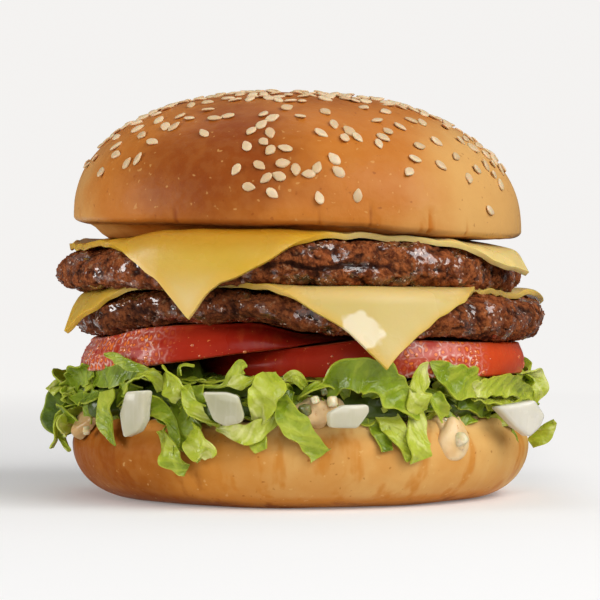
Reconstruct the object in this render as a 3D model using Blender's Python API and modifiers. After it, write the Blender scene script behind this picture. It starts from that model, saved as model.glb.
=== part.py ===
"""A double cheeseburger: a cut sesame bun round two beef patties, two cheese slices, two tomato
slices, a bed of shredded lettuce with chopped onion, and a spread of sauce.

Metres, +Z up. The burger stands on its flat heel, with the middle of its footprint at the origin
and its front towards -Y. Every layer is a turned disc or a grid that is then moved by a few
functions: the heights where the layers meet, and the distance along the heel's outline.
"""

import math

import bpy
from mathutils import Vector

NAME = "double_cheeseburger"
GAP = 0.0003  # air kept between two pieces that rest on each other

# Where the layers meet on the middle axis, from the table up.
HEEL_TOP = 0.0195
LETTUCE_TOP = 0.0283
TOMATO_BOTTOM = 0.0286
TOMATO_TOP = 0.0380
PATTY_LOWER = (0.0383, 0.0470)
PATTY_UPPER = (0.0492, 0.0578)
CROWN_CUT = 0.0603
CROWN_TOP = 0.0938

# The stack leans a little: each height falls this much for each metre towards +X.
PATTY_SLOPE = 0.020
CROWN_SLOPE = 0.033

# Bun
CROWN_RADIUS = 0.0526
CROWN_ROUNDNESS = 2.33  # power of the dome's superellipse
CROWN_CENTRE_X = -0.0020
CROWN_LIP = 0.0068  # how far the cut face stays inside the rim
CROWN_LIP_RISE = 0.0019
HEEL_RADIUS = 0.0532
HEEL_CENTRE_X = -0.0010
HEEL_FOOT_RADIUS = 0.0400
HEEL_WIDEST = 0.0120
HEEL_SHOULDER = 0.0022  # how far the heel narrows from its widest to its cut face
SHOULDER_ROUND = 0.0024

# Patties
PATTY_RADIUS = 0.0538
PATTY_UPPER_X = -0.0026
PATTY_LOWER_X = 0.0014
PATTY_EDGE_WIDTH = 0.0105  # width of the rounded upper edge, seen from above
PATTY_EDGE_POWER = 2.8  # 2 is a round edge, more is a squarer one
PATTY_RIM = 0.42  # height of the widest line, as a share of the thickness
TAPER_START = 0.55  # share of the radius where a thin side begins to fall
TAPER_DEPTH = 0.0046
TAPER_SPREAD = math.radians(58)
UPPER_TAPER_AT = math.radians(-24)
LOWER_TAPER_AT = math.radians(200)

# Cheese slices
CHEESE_SIDE = 0.0850
CHEESE_THICKNESS = 0.0016
CHEESE_CUTS = 18
CHEESE_LIFT = 0.0010  # how far a slice stands off the patty's rounded edge
LIFT_FROM = 0.048
LIFT_TO = 0.054
DRAPE_STEP = 0.0005
UPPER_CHEESE_AT = (-0.0051, -0.0070)
UPPER_CHEESE_TURN = math.radians(-22)
LOWER_CHEESE_AT = (0.0013, -0.0073)
LOWER_CHEESE_TURN = math.radians(20)
CHEESE_DROOP = math.radians(76)  # how steeply the slices hang, except where a corner stands out
UPPER_STIFF_CORNER = (math.radians(-24), math.radians(60), math.radians(24))
LOWER_STIFF_CORNERS = (
    (math.radians(12), math.radians(62), math.radians(32)),
    (math.radians(204), math.radians(52), math.radians(48)),
)

# Tomato slices
TOMATO_RADIUS = 0.0385
TOMATO_BULGE = 0.0012
TOMATO_SLANT = 0.0018  # how much narrower a slice is on top
TOMATO_LEFT_AT = (-0.0132, -0.0056)
TOMATO_RIGHT_AT = (0.0142, -0.0076)
TOMATO_THINNEST = 0.0010
SEAM_AT_AXIS = 0.0350  # height of the sloping plane where the two slices lap
SEAM_SLOPE = 0.092

# Sauce and lettuce lie on the heel and hang over its side. Each stands a little further off it
# past the shoulder than on the cut face. A drip or a lobe is an azimuth and a spread in degrees,
# and how much further it reaches along the heel.
SHOULDER_FROM = 0.0400
SHOULDER_TO = 0.0465
SAUCE_CLEAR = (GAP, 0.0012)
SAUCE_THICKNESS = 0.0013
SAUCE_REACH = 0.0490
SAUCE_DRIPS = ((-157, 15, 0.0090), (-86, 13, 0.0050), (-51, 11, 0.0120), (38, 12, 0.0080), (124, 13, 0.0100))
LETTUCE_CLEAR = (0.0021, 0.0034)
LETTUCE_REACH = 0.0535
LETTUCE_LOBES = (
    (-173, 15, 0.0065), (-138, 10, 0.0042), (-119, 9, 0.0082), (-106, 7, 0.0050), (-85, 9, 0.0072),
    (-66, 8, 0.0068), (-33, 10, 0.0030), (-9, 12, 0.0050), (18, 10, 0.0035), (42, 11, 0.0070),
    (67, 9, 0.0040), (88, 10, 0.0078), (112, 9, 0.0040), (135, 11, 0.0070), (160, 9, 0.0030),
)
LETTUCE_CREST = 0.0040  # rise of the bed in front of and behind the tomato
CREST_PLACES = ((math.radians(-102), math.radians(32)), (math.radians(88), math.radians(62)))
LETTUCE_HANG_THICKNESS = 0.0036
LETTUCE_WIDER = 0.0012  # how much thicker it hangs at the left and right, and thinner between

# Chopped onion: where each piece lies (azimuth in degrees, radius, height), its width and height,
# how far it leans sideways and how far it is turned off the azimuth, both in degrees.
ONION_THICKNESS = 0.0034
ONION_BEND = math.radians(38)
ONION_BEVEL = 0.0007
ONIONS = (
    (-127, 0.0584, 0.0213, 0.0078, 0.0105, 12, 0),
    (-107, 0.0589, 0.0228, 0.0092, 0.0078, -8, 0),
    (-80, 0.0582, 0.0212, 0.0088, 0.0066, 6, 0),
    (-30, 0.0588, 0.0196, 0.0120, 0.0088, -24, -32),
    (22, 0.0582, 0.0225, 0.0090, 0.0070, 15, 10),
    (68, 0.0578, 0.0205, 0.0074, 0.0095, -10, 0),
    (106, 0.0580, 0.0228, 0.0095, 0.0068, 8, -8),
    (158, 0.0584, 0.0215, 0.0084, 0.0080, -16, 12),
)


def clear_scene():
    for obj in list(bpy.data.objects):
        bpy.data.objects.remove(obj)


def new_collection(name):
    collection = bpy.data.collections.new(name)
    bpy.context.scene.collection.children.link(collection)
    return collection


def material(name, colour, roughness):
    made = bpy.data.materials.new(name)
    made.use_nodes = True
    shader = made.node_tree.nodes["Principled BSDF"]
    shader.inputs["Base Color"].default_value = (*colour, 1.0)
    shader.inputs["Roughness"].default_value = roughness
    shader.inputs["Metallic"].default_value = 0.0
    return made


def add_object(name, mesh, collection, look, parent):
    obj = bpy.data.objects.new(name, mesh)
    collection.objects.link(obj)
    obj.parent = parent
    if look:
        mesh.materials.clear()
        mesh.materials.append(look)
    return obj


def baked(obj):
    """The object's mesh with its modifiers applied."""
    bpy.context.view_layer.update()
    graph = bpy.context.evaluated_depsgraph_get()
    return bpy.data.meshes.new_from_object(obj.evaluated_get(graph))


def turned_mesh(profile, steps):
    """Turns a profile of (radius, height) round Z. It runs from the axis at the top, down the
    outer side, and back to the axis at the bottom."""
    mesh = bpy.data.meshes.new("profile")
    edges = [(i, i + 1) for i in range(len(profile) - 1)]
    mesh.from_pydata([(r, 0.0, z) for r, z in profile], edges, [])
    guide = bpy.data.objects.new("profile", mesh)
    bpy.context.scene.collection.objects.link(guide)
    screw = guide.modifiers.new("Turn", "SCREW")
    screw.axis = "Z"
    screw.angle = 2 * math.pi
    screw.steps = screw.render_steps = steps
    screw.use_merge_vertices = True
    screw.merge_threshold = 0.00001
    weld = guide.modifiers.new("Close", "WELD")
    weld.merge_threshold = 0.00001
    made = baked(guide)
    bpy.data.objects.remove(guide)
    return made


def reshape(mesh, move):
    """Moves every point of the mesh by a function of its radius, azimuth and height."""
    for vertex in mesh.vertices:
        x, y, z = vertex.co
        vertex.co = move(math.hypot(x, y), math.atan2(y, x), z)
    mesh.update()
    return mesh


def smooth_shaded(mesh, sharp_angle=math.radians(40)):
    mesh.shade_smooth()
    mesh.set_sharp_from_angle(angle=sharp_angle)
    return mesh


def waves(azimuth, terms):
    """A closed wavy line: each term is (waves in a turn, height, phase)."""
    return sum(height * math.sin(count * azimuth + phase) for count, height, phase in terms)


def bump(azimuth, centre, spread):
    """1 at the centre azimuth, falling smoothly to 0 at the spread on each side."""
    away = abs((azimuth - centre + math.pi) % (2 * math.pi) - math.pi)
    return 0.5 + 0.5 * math.cos(math.pi * away / spread) if away < spread else 0.0


def polar(radius, azimuth, height, centre=(0.0, 0.0)):
    return Vector((
        centre[0] + radius * math.cos(azimuth),
        centre[1] + radius * math.sin(azimuth),
        height,
    ))


# ---- Bun ------------------------------------------------------------------------------------

CROWN_WAVES = ((2, 0.0004, 0.6), (3, 0.0004, 2.1), (5, 0.0002, 0.3))
HEEL_WAVES = ((2, 0.0003, 1.2), (3, 0.0003, 0.2), (5, 0.0002, 2.6))


def crown_profile(rings=9):
    """The dome, the rim rolled under, and the cut face, with height 0 on the cut face."""
    dome = CROWN_TOP - CROWN_CUT - CROWN_LIP_RISE
    power = 2 / CROWN_ROUNDNESS
    points = []
    for i in range(rings + 1):
        angle = math.pi / 2 * (1 - i / rings)
        radius = CROWN_RADIUS * max(math.cos(angle), 0.0) ** power if i else 0.0
        points.append((radius, CROWN_LIP_RISE + dome * math.sin(angle) ** power))
    points.append((CROWN_RADIUS - 0.16 * CROWN_LIP, 0.55 * CROWN_LIP_RISE))
    points.append((CROWN_RADIUS - CROWN_LIP, 0.0))
    points.append((0.5 * CROWN_RADIUS, 0.0))
    points.append((0.0, 0.0))
    return points


def build_crown(collection, parent):
    def shape(radius, azimuth, height):
        share = radius / CROWN_RADIUS
        return polar(radius + share * waves(azimuth, CROWN_WAVES), azimuth, height)

    look = material("crown_crust", (0.49, 0.21, 0.065), 0.42)
    mesh = smooth_shaded(reshape(turned_mesh(crown_profile(), 48), shape))
    crown = add_object("bun_crown", mesh, collection, look, parent)
    crown.location = (CROWN_CENTRE_X, 0.0, CROWN_CUT - CROWN_SLOPE * CROWN_CENTRE_X)
    crown.rotation_euler = (0.0, math.atan(CROWN_SLOPE), 0.0)
    return crown


def heel_profile(side_rings=2, foot_rings=5):
    """The cut face, its rounded shoulder, the side and the rounded foot, down to the table."""
    top_radius = HEEL_RADIUS - HEEL_SHOULDER
    points = [(0.0, HEEL_TOP), (0.5 * top_radius, HEEL_TOP), (top_radius - SHOULDER_ROUND, HEEL_TOP)]
    points.append((top_radius - 0.35 * SHOULDER_ROUND, HEEL_TOP - 0.35 * SHOULDER_ROUND))
    for i in range(side_rings):
        share = i / side_rings
        height = HEEL_TOP - SHOULDER_ROUND - (HEEL_TOP - SHOULDER_ROUND - HEEL_WIDEST) * share
        points.append((top_radius + HEEL_SHOULDER * math.sin(math.pi / 2 * share), height))
    for i in range(foot_rings + 1):
        angle = math.pi / 2 * i / foot_rings
        radius = HEEL_FOOT_RADIUS + (HEEL_RADIUS - HEEL_FOOT_RADIUS) * math.cos(angle)
        points.append((radius, HEEL_WIDEST * (1 - math.sin(angle))))
    points.append((0.0, 0.0))
    return points


def heel_outline(azimuth):
    """How much the heel's radius at this azimuth differs from its mean, as a factor."""
    return 1 + waves(azimuth, HEEL_WAVES) / HEEL_RADIUS


def build_heel(collection, parent):
    def shape(radius, azimuth, height):
        return polar(radius * heel_outline(azimuth), azimuth, height)

    look = material("heel_crust", (0.56, 0.29, 0.10), 0.45)
    mesh = smooth_shaded(reshape(turned_mesh(heel_profile(), 46), shape))
    heel = add_object("bun_heel", mesh, collection, look, parent)
    heel.location = (HEEL_CENTRE_X, 0.0, 0.0)
    return heel


def along_heel(distance):
    """(radius, height, outward normal) at a distance from the axis, over the cut face and down
    the side of the heel."""
    points = heel_profile()
    left = distance
    for (r0, z0), (r1, z1) in zip(points, points[1:]):
        length = math.hypot(r1 - r0, z1 - z0)
        if left <= length:
            share = left / length
            normal = (-(z1 - z0) / length, (r1 - r0) / length)
            return r0 + (r1 - r0) * share, z0 + (z1 - z0) * share, normal
        left -= length
    raise ValueError("the distance runs past the heel's foot")


def over_heel(distance, azimuth, offset):
    """The point that lies this far out along the heel and this far off its surface. The normal
    is the mean over a short stretch, so that the offset surface has no kinks."""
    reach = 0.0015
    normals = [along_heel(max(distance + step, 0.0))[2] for step in (-reach, 0.0, reach)]
    normal = sum((Vector(n) for n in normals), Vector((0.0, 0.0))).normalized()
    radius, height, _ = along_heel(distance)
    radius = radius * heel_outline(azimuth) + normal.x * offset
    return polar(radius, azimuth, height + normal.y * offset, (HEEL_CENTRE_X, 0.0))


# ---- Sauce, lettuce and onion -----------------------------------------------------------------


def clearance(distance, limits):
    """How far a layer stands off the heel: one value on the cut face, another past the shoulder."""
    share = min(max((distance - SHOULDER_FROM) / (SHOULDER_TO - SHOULDER_FROM), 0.0), 1.0)
    return limits[0] + (limits[1] - limits[0]) * share


def lengthened(azimuth, places):
    """How much further a layer reaches at this azimuth, from its list of drips or lobes."""
    return sum(
        length * bump(azimuth, math.radians(degrees), math.radians(spread))
        for degrees, spread, length in places
    )


def layer_profile(edge, rings):
    """A flat disc of (distance, side), side 1 on top and 0 below, with its rings past the
    shoulder."""
    past = [SHOULDER_TO + (0.99 * edge - SHOULDER_TO) * i / rings for i in range(rings + 1)]
    stations = [0.0, SHOULDER_FROM] + past
    return [(d, 1.0) for d in stations] + [(edge, 0.5)] + [(d, 0.0) for d in reversed(stations)]


def stretched(distance, edge, reach):
    """Moves the stations past the shoulder so that the edge comes to the reach, and gives the
    share of that way."""
    share = max((distance - SHOULDER_TO) / (edge - SHOULDER_TO), 0.0)
    return min(distance, SHOULDER_TO) + (reach - SHOULDER_TO) * share, share


def build_sauce(collection, parent):
    """A thin disc spread on the heel, which follows its outline where it drips."""

    def shape(distance, azimuth, side):
        reach = SAUCE_REACH + waves(azimuth, ((7, 0.0005, 0.4), (11, 0.0003, 1.3)))
        reach += lengthened(azimuth, SAUCE_DRIPS)
        distance, _ = stretched(distance, SAUCE_REACH, reach)
        return over_heel(distance, azimuth, clearance(distance, SAUCE_CLEAR) + side * SAUCE_THICKNESS)

    look = material("burger_sauce", (0.80, 0.52, 0.26), 0.25)
    mesh = smooth_shaded(reshape(turned_mesh(layer_profile(SAUCE_REACH, 4), 54), shape))
    return add_object("sauce", mesh, collection, look, parent)


def build_lettuce(collection, parent, cutters):
    """The bed of shreds, out to its uneven outline, with a pocket for each piece of onion."""
    bed = LETTUCE_TOP - HEEL_TOP

    def shape(distance, azimuth, side):
        reach = LETTUCE_REACH + lengthened(azimuth, LETTUCE_LOBES)
        distance, share = stretched(distance, LETTUCE_REACH, reach)
        under = clearance(distance, LETTUCE_CLEAR)
        hem = LETTUCE_CLEAR[1] + LETTUCE_HANG_THICKNESS + LETTUCE_WIDER * math.cos(2 * azimuth)
        rough = abs(waves(azimuth, ((13, 0.0007, 0.2), (19, 0.0007, 1.7), (8, 0.0006, 2.9))))
        crest = LETTUCE_CREST * sum(bump(azimuth, *place) for place in CREST_PLACES)
        over = bed + (hem - bed) * share - rough * math.sin(math.pi * share)
        over += crest * math.sin(math.pi * share**0.7)
        return over_heel(distance, azimuth, under + side * (over - under))

    look = material("lettuce_leaf", (0.23, 0.36, 0.05), 0.5)
    mesh = smooth_shaded(reshape(turned_mesh(layer_profile(LETTUCE_REACH, 4), 68), shape))
    lettuce = add_object("lettuce", mesh, collection, look, parent)
    pockets = lettuce.modifiers.new("Onion pockets", "BOOLEAN")
    pockets.operation = "DIFFERENCE"
    pockets.solver = "EXACT"
    pockets.operand_type = "COLLECTION"
    pockets.collection = cutters
    return lettuce


def onion_mesh(width, height, thickness, bevel):
    """A chopped petal of onion: a bevelled block, bent round its height, its outside towards +X."""
    bpy.ops.mesh.primitive_cube_add(size=1.0)
    block = bpy.context.object
    for vertex in block.data.vertices:
        x, y, z = vertex.co
        narrow = 1 - 0.25 * (z + 0.5)
        vertex.co = (x * thickness, y * width * narrow, z * height)
    rounded = block.modifiers.new("Edges", "BEVEL")
    rounded.width = bevel
    rounded.segments = 1
    mesh = baked(block)
    bpy.data.objects.remove(block)
    for vertex in mesh.vertices:
        vertex.co.x -= 0.25 * ONION_BEND * vertex.co.y**2 / (0.5 * width)
    return mesh


def build_onions(collection, parent, cutters):
    look = material("raw_onion", (0.78, 0.76, 0.62), 0.3)
    for number, (degrees, radius, height, width, tall, lean, turn) in enumerate(ONIONS, 1):
        azimuth = math.radians(degrees)
        sizes = (width, tall, ONION_THICKNESS)
        larger = [size + 2 * GAP + 0.0002 for size in sizes]
        mesh = smooth_shaded(onion_mesh(*sizes, ONION_BEVEL))
        piece = add_object(f"onion_{number}", mesh, collection, look, parent)
        pocket = add_object(f"pocket_{number}", onion_mesh(*larger, ONION_BEVEL), cutters, None, parent)
        pocket.hide_render = True
        pocket.display_type = "WIRE"
        for obj in (piece, pocket):
            obj.location = polar(radius, azimuth, height)
            obj.rotation_euler = (math.radians(lean), 0.0, azimuth + math.radians(turn))


# ---- Tomato -------------------------------------------------------------------------------------


def seam(x):
    """Height where the left tomato slice lies on the right one."""
    return SEAM_AT_AXIS + SEAM_SLOPE * x


def tomato_slice(name, centre, outline, floor, ceiling, collection, parent, look):
    """A slice with a bulging skin, between two heights that change along X."""
    flesh = 0.86 * TOMATO_RADIUS
    skin = [0.0, 0.25, 0.5, 0.75, 1.0]
    inside = TOMATO_RADIUS - TOMATO_BULGE
    side = [(inside - TOMATO_SLANT * (1 - s) + TOMATO_BULGE * math.sin(math.pi * s), 1 - s) for s in skin]
    profile = [(0.0, 1.0), (flesh, 1.0)] + side + [(flesh, 0.0), (0.0, 0.0)]

    def shape(radius, azimuth, share):
        radius *= 1 + waves(azimuth, outline)
        point = polar(radius, azimuth, 0.0, centre)
        point.z = floor(point.x) + share * (ceiling(point.x) - floor(point.x))
        return point

    mesh = smooth_shaded(reshape(turned_mesh(profile, 40), shape))
    return add_object(name, mesh, collection, look, parent)


def build_tomatoes(collection, parent):
    look = material("tomato", (0.55, 0.045, 0.022), 0.2)

    def left_top(x):
        return TOMATO_TOP - PATTY_SLOPE * x

    def left_floor(x):
        return min(seam(x) + GAP, left_top(x) - TOMATO_THINNEST)

    def right_top(x):
        return min(seam(x) - GAP, left_top(x) - TOMATO_THINNEST - 2 * GAP)

    tomato_slice(
        "tomato_left", TOMATO_LEFT_AT, ((2, 0.010, 0.5), (5, 0.006, 1.0)),
        left_floor, left_top, collection, parent, look,
    )
    tomato_slice(
        "tomato_right", TOMATO_RIGHT_AT, ((2, 0.012, 2.0), (5, 0.006, 0.2)),
        lambda x: TOMATO_BOTTOM, right_top, collection, parent, look,
    )


# ---- Patties and cheese -------------------------------------------------------------------------


class Patty:
    """One patty's outline and surfaces, which its cheese slice also follows."""

    def __init__(self, levels, centre_x, slopes, outline, taper_at):
        self.bottom, self.top = levels
        self.centre = (centre_x, 0.0)
        self.bottom_slope, self.top_slope = slopes
        self.outline = outline
        self.taper_at = taper_at

    def radius(self, azimuth):
        return PATTY_RADIUS + waves(azimuth, self.outline)

    def plane(self, x, share):
        """Height at a share of the thickness, between the sloping bottom and top planes."""
        bottom = self.bottom - self.bottom_slope * x
        top = self.top - self.top_slope * x
        return bottom + share * (top - bottom)

    def drop(self, radius, azimuth):
        """How far the upper face has fallen below its plane: a rounded edge and a thin side."""
        edge = self.radius(azimuth)
        fading = max(radius / edge - TAPER_START, 0.0) / (1 - TAPER_START)
        thinned = TAPER_DEPTH * fading**2 * bump(azimuth, self.taper_at, TAPER_SPREAD)
        above_rim = (1 - PATTY_RIM) * (self.top - self.bottom - thinned)
        across = min(max((radius - edge) / PATTY_EDGE_WIDTH + 1, 0.0), 1.0)
        return thinned + above_rim * (1 - (1 - across**PATTY_EDGE_POWER) ** (1 / PATTY_EDGE_POWER))

    def upper_face(self, radius, azimuth):
        x = self.centre[0] + radius * math.cos(azimuth)
        return self.plane(x, 1.0) - self.drop(radius, azimuth)


UPPER_PATTY = Patty(
    PATTY_UPPER, PATTY_UPPER_X, (PATTY_SLOPE, CROWN_SLOPE),
    ((2, 0.0005, 1.0), (5, 0.0004, 0.8), (9, 0.0003, 2.0)), UPPER_TAPER_AT,
)
LOWER_PATTY = Patty(
    PATTY_LOWER, PATTY_LOWER_X, (PATTY_SLOPE, PATTY_SLOPE),
    ((2, 0.0004, 2.4), (5, 0.0004, 2.9), (9, 0.0003, 0.4)), LOWER_TAPER_AT,
)


def build_patty(name, patty, collection, parent, look, rings=5):
    """A pressed disc of minced beef: flat faces, a rounded edge and one thinner side."""
    width = PATTY_EDGE_WIDTH / PATTY_RADIUS
    curve = [math.sin(math.pi / 2 * i / rings) ** 0.8 for i in range(rings + 1)]
    top = [(0.0, 1.0), (TAPER_START, 1.0)] + [(1 - width + width * c, 1.0) for c in curve]
    under = [(1 - 0.08 * width, -0.45), (1 - 0.28 * width, -0.85), (1 - 0.6 * width, -1.0), (0.0, -1.0)]

    def shape(radius, azimuth, side):
        edge = patty.radius(azimuth)
        point = polar(radius * edge, azimuth, 0.0, patty.centre)
        if side > 0:
            point.z = patty.upper_face(radius * edge, azimuth)
            return point
        rim = patty.upper_face(edge, azimuth)
        floor = patty.plane(point.x, 0.0)
        point.z = floor + (1 + side) * (rim - floor)
        return point

    mesh = smooth_shaded(reshape(turned_mesh(top + under, 48), shape))
    return add_object(name, mesh, collection, look, parent)


def draped(patty, radius, azimuth, steepest):
    """The point reached by going this far from the patty's middle along its upper face. Past
    the steepest slope the slice is stiff enough to run on straight, out of touch."""
    flat = min(radius, TAPER_START * PATTY_RADIUS)
    out, fallen, slope = flat, 0.0, 0.0
    steps = max(int((radius - flat) / DRAPE_STEP), 1)
    step = (radius - flat) / steps
    for _ in range(steps):
        ahead = out + 0.25 * DRAPE_STEP
        if ahead < patty.radius(azimuth):
            fall = patty.drop(ahead, azimuth) - patty.drop(out, azimuth)
            slope = max(slope, math.atan2(fall, ahead - out))
        else:
            slope = steepest
        slope = min(slope, steepest)
        out += step * math.cos(slope)
        fallen += step * math.sin(slope)
    lift = CHEESE_LIFT * min(max((radius - LIFT_FROM) / (LIFT_TO - LIFT_FROM), 0.0), 1.0)
    point = polar(out + lift, azimuth, 0.0, patty.centre)
    point.z = patty.plane(point.x, 1.0) - fallen + GAP + lift
    return point


def build_cheese(name, patty, centre, turn, steepness, collection, parent, look):
    """A square slice laid on a patty, its corners hanging over the edge. Steepness gives the
    steepest slope as a function of azimuth."""
    bpy.ops.mesh.primitive_grid_add(x_subdivisions=CHEESE_CUTS, y_subdivisions=CHEESE_CUTS, size=CHEESE_SIDE)
    guide = bpy.context.object
    mesh = guide.data.copy()
    bpy.data.objects.remove(guide)
    corner_down = turn - math.pi / 4
    for vertex in mesh.vertices:
        flat = vertex.co.copy()
        x = centre[0] + flat.x * math.cos(corner_down) - flat.y * math.sin(corner_down)
        y = centre[1] + flat.x * math.sin(corner_down) + flat.y * math.cos(corner_down)
        radius = math.hypot(x - patty.centre[0], y - patty.centre[1])
        azimuth = math.atan2(y - patty.centre[1], x - patty.centre[0])
        vertex.co = draped(patty, radius, azimuth, steepness(azimuth))
    mesh.update()
    cheese = add_object(name, smooth_shaded(mesh), collection, look, parent)
    thick = cheese.modifiers.new("Thickness", "SOLIDIFY")
    thick.thickness = CHEESE_THICKNESS
    thick.offset = 1.0
    return cheese


def build_patties_and_cheese(collection, parent):
    beef = material("beef", (0.13, 0.055, 0.03), 0.45)
    yellow = material("cheese", (0.80, 0.52, 0.12), 0.35)

    def steepness(stiff_corners):
        def at(azimuth):
            held = sum(
                (CHEESE_DROOP - slope) * bump(azimuth, middle, spread)
                for middle, spread, slope in stiff_corners
            )
            return CHEESE_DROOP - held

        return at

    build_patty("patty_lower", LOWER_PATTY, collection, parent, beef)
    build_patty("patty_upper", UPPER_PATTY, collection, parent, beef)
    build_cheese(
        "cheese_lower", LOWER_PATTY, LOWER_CHEESE_AT, LOWER_CHEESE_TURN, steepness(LOWER_STIFF_CORNERS),
        collection, parent, yellow,
    )
    build_cheese(
        "cheese_upper", UPPER_PATTY, UPPER_CHEESE_AT, UPPER_CHEESE_TURN, steepness((UPPER_STIFF_CORNER,)),
        collection, parent, yellow,
    )


def stand_on_origin(root, collection):
    """Moves the whole so that the middle of its footprint is at the origin."""
    bpy.context.view_layer.update()
    graph = bpy.context.evaluated_depsgraph_get()
    corners = []
    for obj in collection.objects:
        if obj.type == "MESH":
            solid = obj.evaluated_get(graph)
            corners += [solid.matrix_world @ Vector(v.co) for v in solid.data.vertices]
    for axis in (0, 1):
        values = [corner[axis] for corner in corners]
        root.location[axis] = -0.5 * (min(values) + max(values))


def main():
    clear_scene()
    parts = new_collection(NAME)
    cutters = new_collection("cutters")
    root = bpy.data.objects.new("burger", None)
    parts.objects.link(root)
    build_heel(parts, root)
    build_sauce(parts, root)
    build_onions(parts, root, cutters)
    build_lettuce(parts, root, cutters)
    build_tomatoes(parts, root)
    build_patties_and_cheese(parts, root)
    build_crown(parts, root)
    stand_on_origin(root, parts)


main()
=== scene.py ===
import math
import random

import bmesh
import bpy
from mathutils import Matrix, Vector, noise
from mathutils.bvhtree import BVHTree


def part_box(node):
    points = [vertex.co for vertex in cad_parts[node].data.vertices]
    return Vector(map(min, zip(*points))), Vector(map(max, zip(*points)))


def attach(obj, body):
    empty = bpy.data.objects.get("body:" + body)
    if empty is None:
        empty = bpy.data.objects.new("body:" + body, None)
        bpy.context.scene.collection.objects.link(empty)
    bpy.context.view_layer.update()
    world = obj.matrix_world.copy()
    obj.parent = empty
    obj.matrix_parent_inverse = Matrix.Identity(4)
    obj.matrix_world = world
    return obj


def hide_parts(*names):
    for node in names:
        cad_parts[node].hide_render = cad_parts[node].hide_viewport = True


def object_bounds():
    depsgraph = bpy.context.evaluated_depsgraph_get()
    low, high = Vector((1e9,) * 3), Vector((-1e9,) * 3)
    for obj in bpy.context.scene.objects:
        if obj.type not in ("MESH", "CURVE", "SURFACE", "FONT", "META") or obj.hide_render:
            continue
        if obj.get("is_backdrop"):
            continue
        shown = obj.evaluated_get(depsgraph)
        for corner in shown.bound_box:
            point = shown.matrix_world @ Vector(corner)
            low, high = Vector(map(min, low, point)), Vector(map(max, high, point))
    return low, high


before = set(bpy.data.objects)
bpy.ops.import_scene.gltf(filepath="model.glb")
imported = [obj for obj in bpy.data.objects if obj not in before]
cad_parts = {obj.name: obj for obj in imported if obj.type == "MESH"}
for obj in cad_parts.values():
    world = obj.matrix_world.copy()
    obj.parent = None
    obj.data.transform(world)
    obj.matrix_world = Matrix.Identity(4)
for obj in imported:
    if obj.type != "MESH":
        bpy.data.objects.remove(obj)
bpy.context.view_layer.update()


# ---- Heel ---------------------------------------------------------------------------------------
# The lower half of a soft wheat bun, baked as a flattened ball and cut across. Its crust is thin
# and golden, paler at the cut shoulder and browner at the foot, where it lay on the baking sheet.
# It stands on that flat foot and carries the whole stack.

heel_low, heel_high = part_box("bun_heel")
HEEL_RADIUS = 0.5 * (heel_high.x - heel_low.x) - 0.0003
HEEL_TOP = heel_high.z
HEEL_WIDEST = 0.0120
HEEL_FOOT_RADIUS = 0.0400
HEEL_SHOULDER = 0.0022
SHOULDER_ROUND = 0.0024
HEEL_SWINGS = ((2, 0.0003, 1.2), (3, 0.0003, 0.2), (5, 0.0002, 2.6))
HEEL_CREASES = (  # degrees, and depth
    (-118, 0.00030), (-101, 0.00024), (-83, 0.00034), (-58, 0.00028), (-35, 0.00022), (20, 0.0003),
    (75, 0.0003), (140, 0.0003),
)
CREASES_FROM = 0.004
CREASES_TO = 0.0185


def rise(share):
    """From 0 to 1 over a quarter of a round."""
    return math.sin(0.5 * math.pi * share)


def fall(share):
    """From 1 to 0 over a quarter of a round."""
    return math.cos(0.5 * math.pi * share)


def arc(count, function):
    """The points of a curve that a function gives over a share from 0 to 1."""
    return [function(i / count) for i in range(count + 1)]


def spun(profile, steps):
    """A profile of (radius, height), whose first point lies on the axis, spun once round Z."""
    bm = bmesh.new()
    points = [bm.verts.new((radius, 0.0, height)) for radius, height in profile]
    edges = [bm.edges.new(pair) for pair in zip(points, points[1:])]
    bmesh.ops.spin(
        bm, geom=points + edges, cent=(0, 0, 0), axis=(0, 0, 1), angle=2 * math.pi,
        steps=steps, use_merge=True, use_duplicate=False,
    )
    bmesh.ops.remove_doubles(bm, verts=bm.verts[:], dist=0.000001)
    bmesh.ops.recalc_face_normals(bm, faces=bm.faces[:])
    return bm


def raised(bm, height_at):
    """Moves every vertex along its normal, by a height worked out from its place."""
    bm.normal_update()
    moves = [(vert, vert.normal * height_at(vert.co)) for vert in bm.verts]
    for vert, move in moves:
        vert.co += move


def settled(bm, node, axes="xyz", aside=0.0):
    """Moves the middle of the mesh's box to the middle of the CAD node's, or so far aside of it."""
    low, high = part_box(node)
    shift = Vector((0.0, 0.0, 0.0))
    for axis in axes:
        values = [getattr(vert.co, axis) for vert in bm.verts]
        gap = 0.5 * (getattr(low, axis) + getattr(high, axis)) - 0.5 * (min(values) + max(values))
        setattr(shift, axis, gap)
    shift.x += aside
    bmesh.ops.translate(bm, verts=bm.verts[:], vec=shift)


def waves(azimuth, terms):
    """A closed wavy line: each term is (waves in a turn, height, phase)."""
    return sum(height * math.sin(count * azimuth + phase) for count, height, phase in terms)


def apart(azimuth, degrees):
    """The angle between two directions, in radians."""
    return abs(math.remainder(azimuth - math.radians(degrees), 2 * math.pi))


def made_piece(name, bm, look):
    """Writes a finished bmesh to a smooth-shaded object with one material."""
    mesh = bpy.data.meshes.new(name)
    bm.to_mesh(mesh)
    bm.free()
    mesh.materials.append(look)
    mesh.shade_smooth()
    piece = bpy.data.objects.new(name, mesh)
    bpy.context.scene.collection.objects.link(piece)
    return piece


def fill(tree, node, inputs):
    """Gives a node its inputs: plain values, colours, or the sockets of other nodes to link."""
    for key, value in inputs.items():
        socket = node.inputs[key]
        if isinstance(value, bpy.types.NodeSocket):
            tree.links.new(value, socket)
        else:
            socket.default_value = (*value, 1.0) if socket.type == "RGBA" else value


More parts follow.
